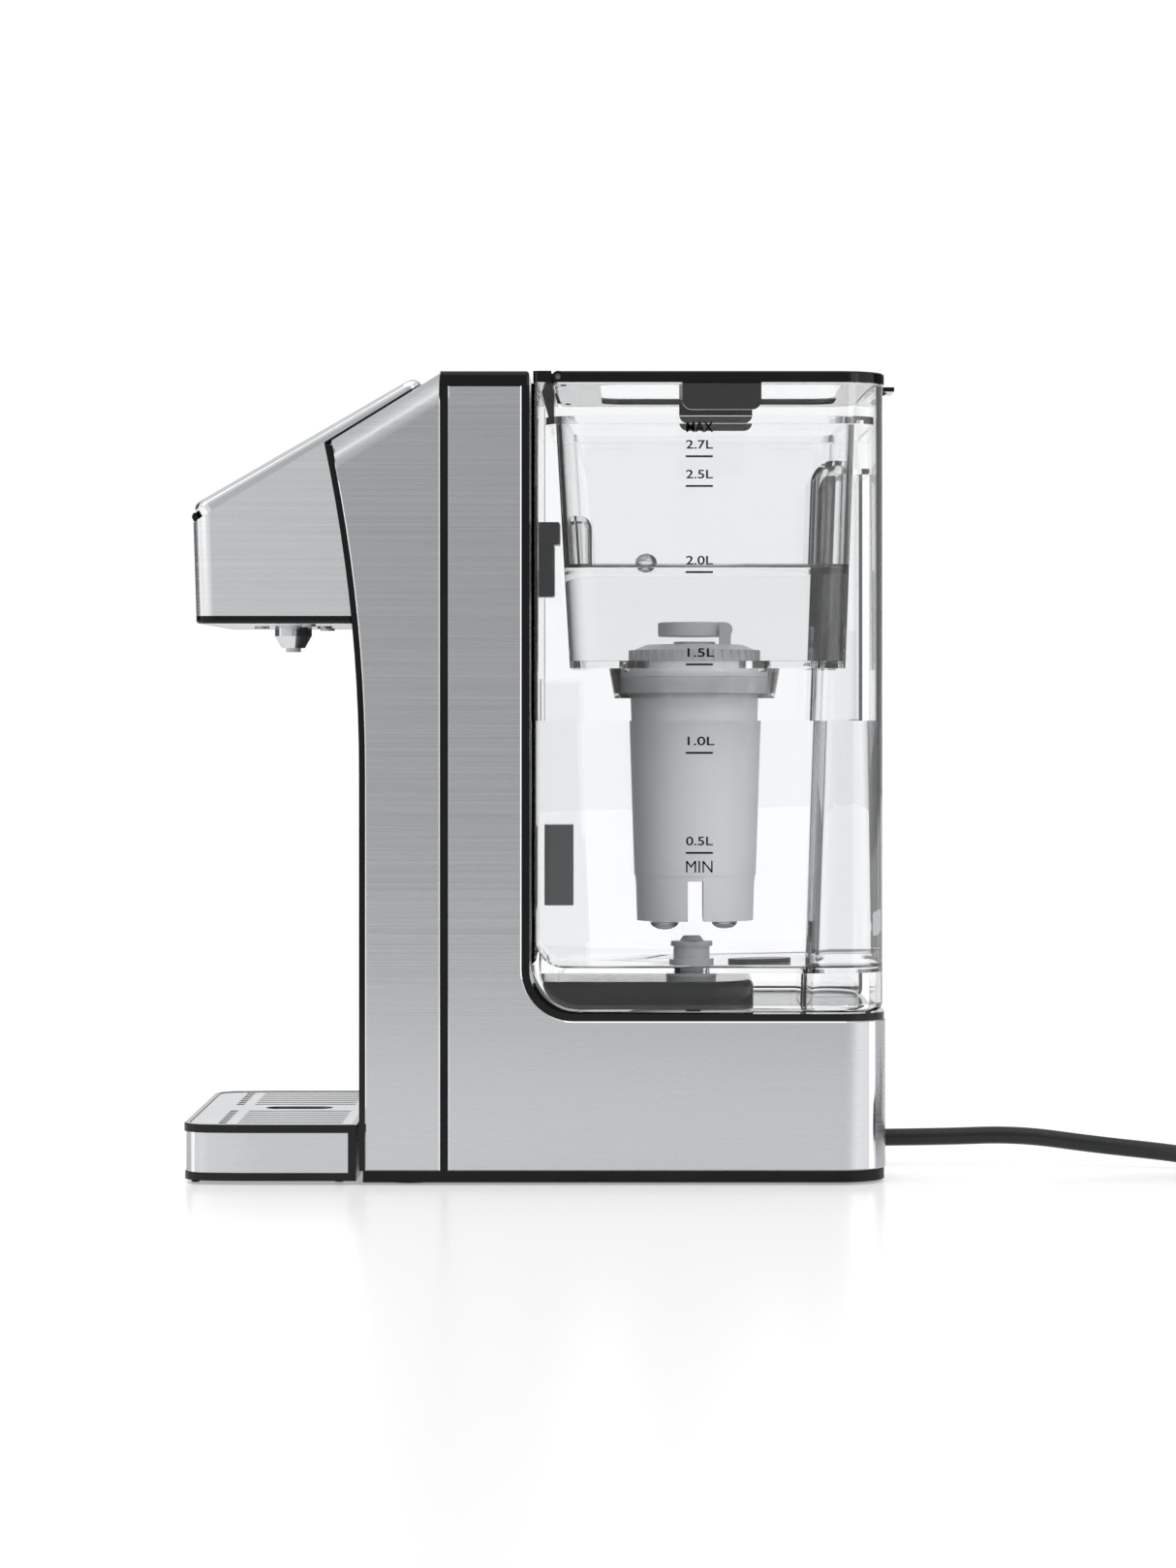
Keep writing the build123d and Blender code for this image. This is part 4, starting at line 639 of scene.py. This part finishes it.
def make_scale():
    """The tank's level scale, printed on its near wall."""
    facing = (math.radians(90), 0, math.radians(90))
    for words, z in SCALE_MARKS:
        tag = words.replace(".", "_")
        make_bar("level_line_" + tag, (SCALE_X, SCALE_Y, z * MM), SCALE_LINE)
        make_text("level_figure_" + tag, words, *FIGURE_SIZE, (SCALE_X, SCALE_Y, z * MM + SCALE_RISE),
                  facing, SCALE_PRINT, "tank_set", "black_plastic", FIGURE_WEIGHT)
    for tag, words, height, width, z, weight in SCALE_WORDS:
        make_text("level_" + tag, words, height, width, (SCALE_X, SCALE_Y, z), facing, SCALE_PRINT,
                  "tank_set", "black_plastic", weight)


# ---- control panel print ------------------------------------------------------------------------
GLASS_T = 2.2 * MM
PANEL_KEYS = [(-40, 0.30), (-13.5, 0.30), (13.5, 0.30), (40, 0.30), (-40, 0.70), (40, 0.70)]
KEY_R = 8.0 * MM
KEY_LINE = 0.35 * MM
KEY_FLATTEN = 0.2            # the rings' wire is squashed to this share of its height
KEY_FIGURE = (5.0 * MM, 2.8 * MM)
KEY_FIGURE_DROP = 0.031      # from a key's middle down to its figure's foot, as a share of the glass
DISPLAY_FIGURE = (15.0 * MM, 22.0 * MM)
DISPLAY_SHARE = 0.62


def panel_point(x, share):
    """A point on the glass: x across, share of the way up its length."""
    low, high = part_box("panel_glass")
    tilt = panel_tilt()
    foot = Vector((x, low.y, low.z + GLASS_T * math.cos(tilt)))
    top = Vector((x, high.y - GLASS_T * math.sin(tilt), high.z))
    return foot.lerp(top, share)


def panel_tilt():
    """Slope of the glass, in radians, from its box and its thickness."""
    low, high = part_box("panel_glass")
    tilt = 0.5
    for _ in range(8):
        rise = (high.z - low.z) - GLASS_T * math.cos(tilt)
        run = (high.y - low.y) - GLASS_T * math.sin(tilt)
        tilt = math.atan2(rise, run)
    return tilt


def make_panel_print():
    """Plain ring keys with numbers, and a two-figure display, on the touch glass."""
    turn = (panel_tilt(), 0, 0)
    for number, (x, share) in enumerate(PANEL_KEYS, 1):
        centre = panel_point(x * MM, share)
        ring = bpy.data.curves.new("key_ring_%d" % number, "CURVE")
        ring.dimensions = "3D"
        ring.bevel_depth = KEY_LINE
        spline = ring.splines.new("POLY")
        circle = arc((0, 0), KEY_R, 0, 360, 48)[:-1]
        spline.points.add(len(circle) - 1)
        for point, (px, py) in zip(spline.points, circle):
            point.co = (px, py, 0, 1)
        spline.use_cyclic_u = True
        ring.materials.append(PANEL_PRINT)
        piece = bpy.data.objects.new("key_ring_%d" % number, ring)
        piece.location = centre
        piece.rotation_euler = turn
        piece.scale.z = KEY_FLATTEN
        bpy.context.scene.collection.objects.link(piece)
        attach(piece, "base")
        foot = panel_point(x * MM, share - KEY_FIGURE_DROP)
        make_text("key_number_%d" % number, str(number), *KEY_FIGURE, foot, turn, PANEL_PRINT, "base",
                  "panel_glass")
    make_text("display_figures", "85", *DISPLAY_FIGURE, panel_point(0, DISPLAY_SHARE), turn, PANEL_PRINT,
              "base", "panel_glass")


set_camera()
set_floor()
set_world()
set_lights()
dress_nodes()
make_cord()
make_tank_water()
make_reservoir_water()
make_drops()
make_scale()
make_panel_print()
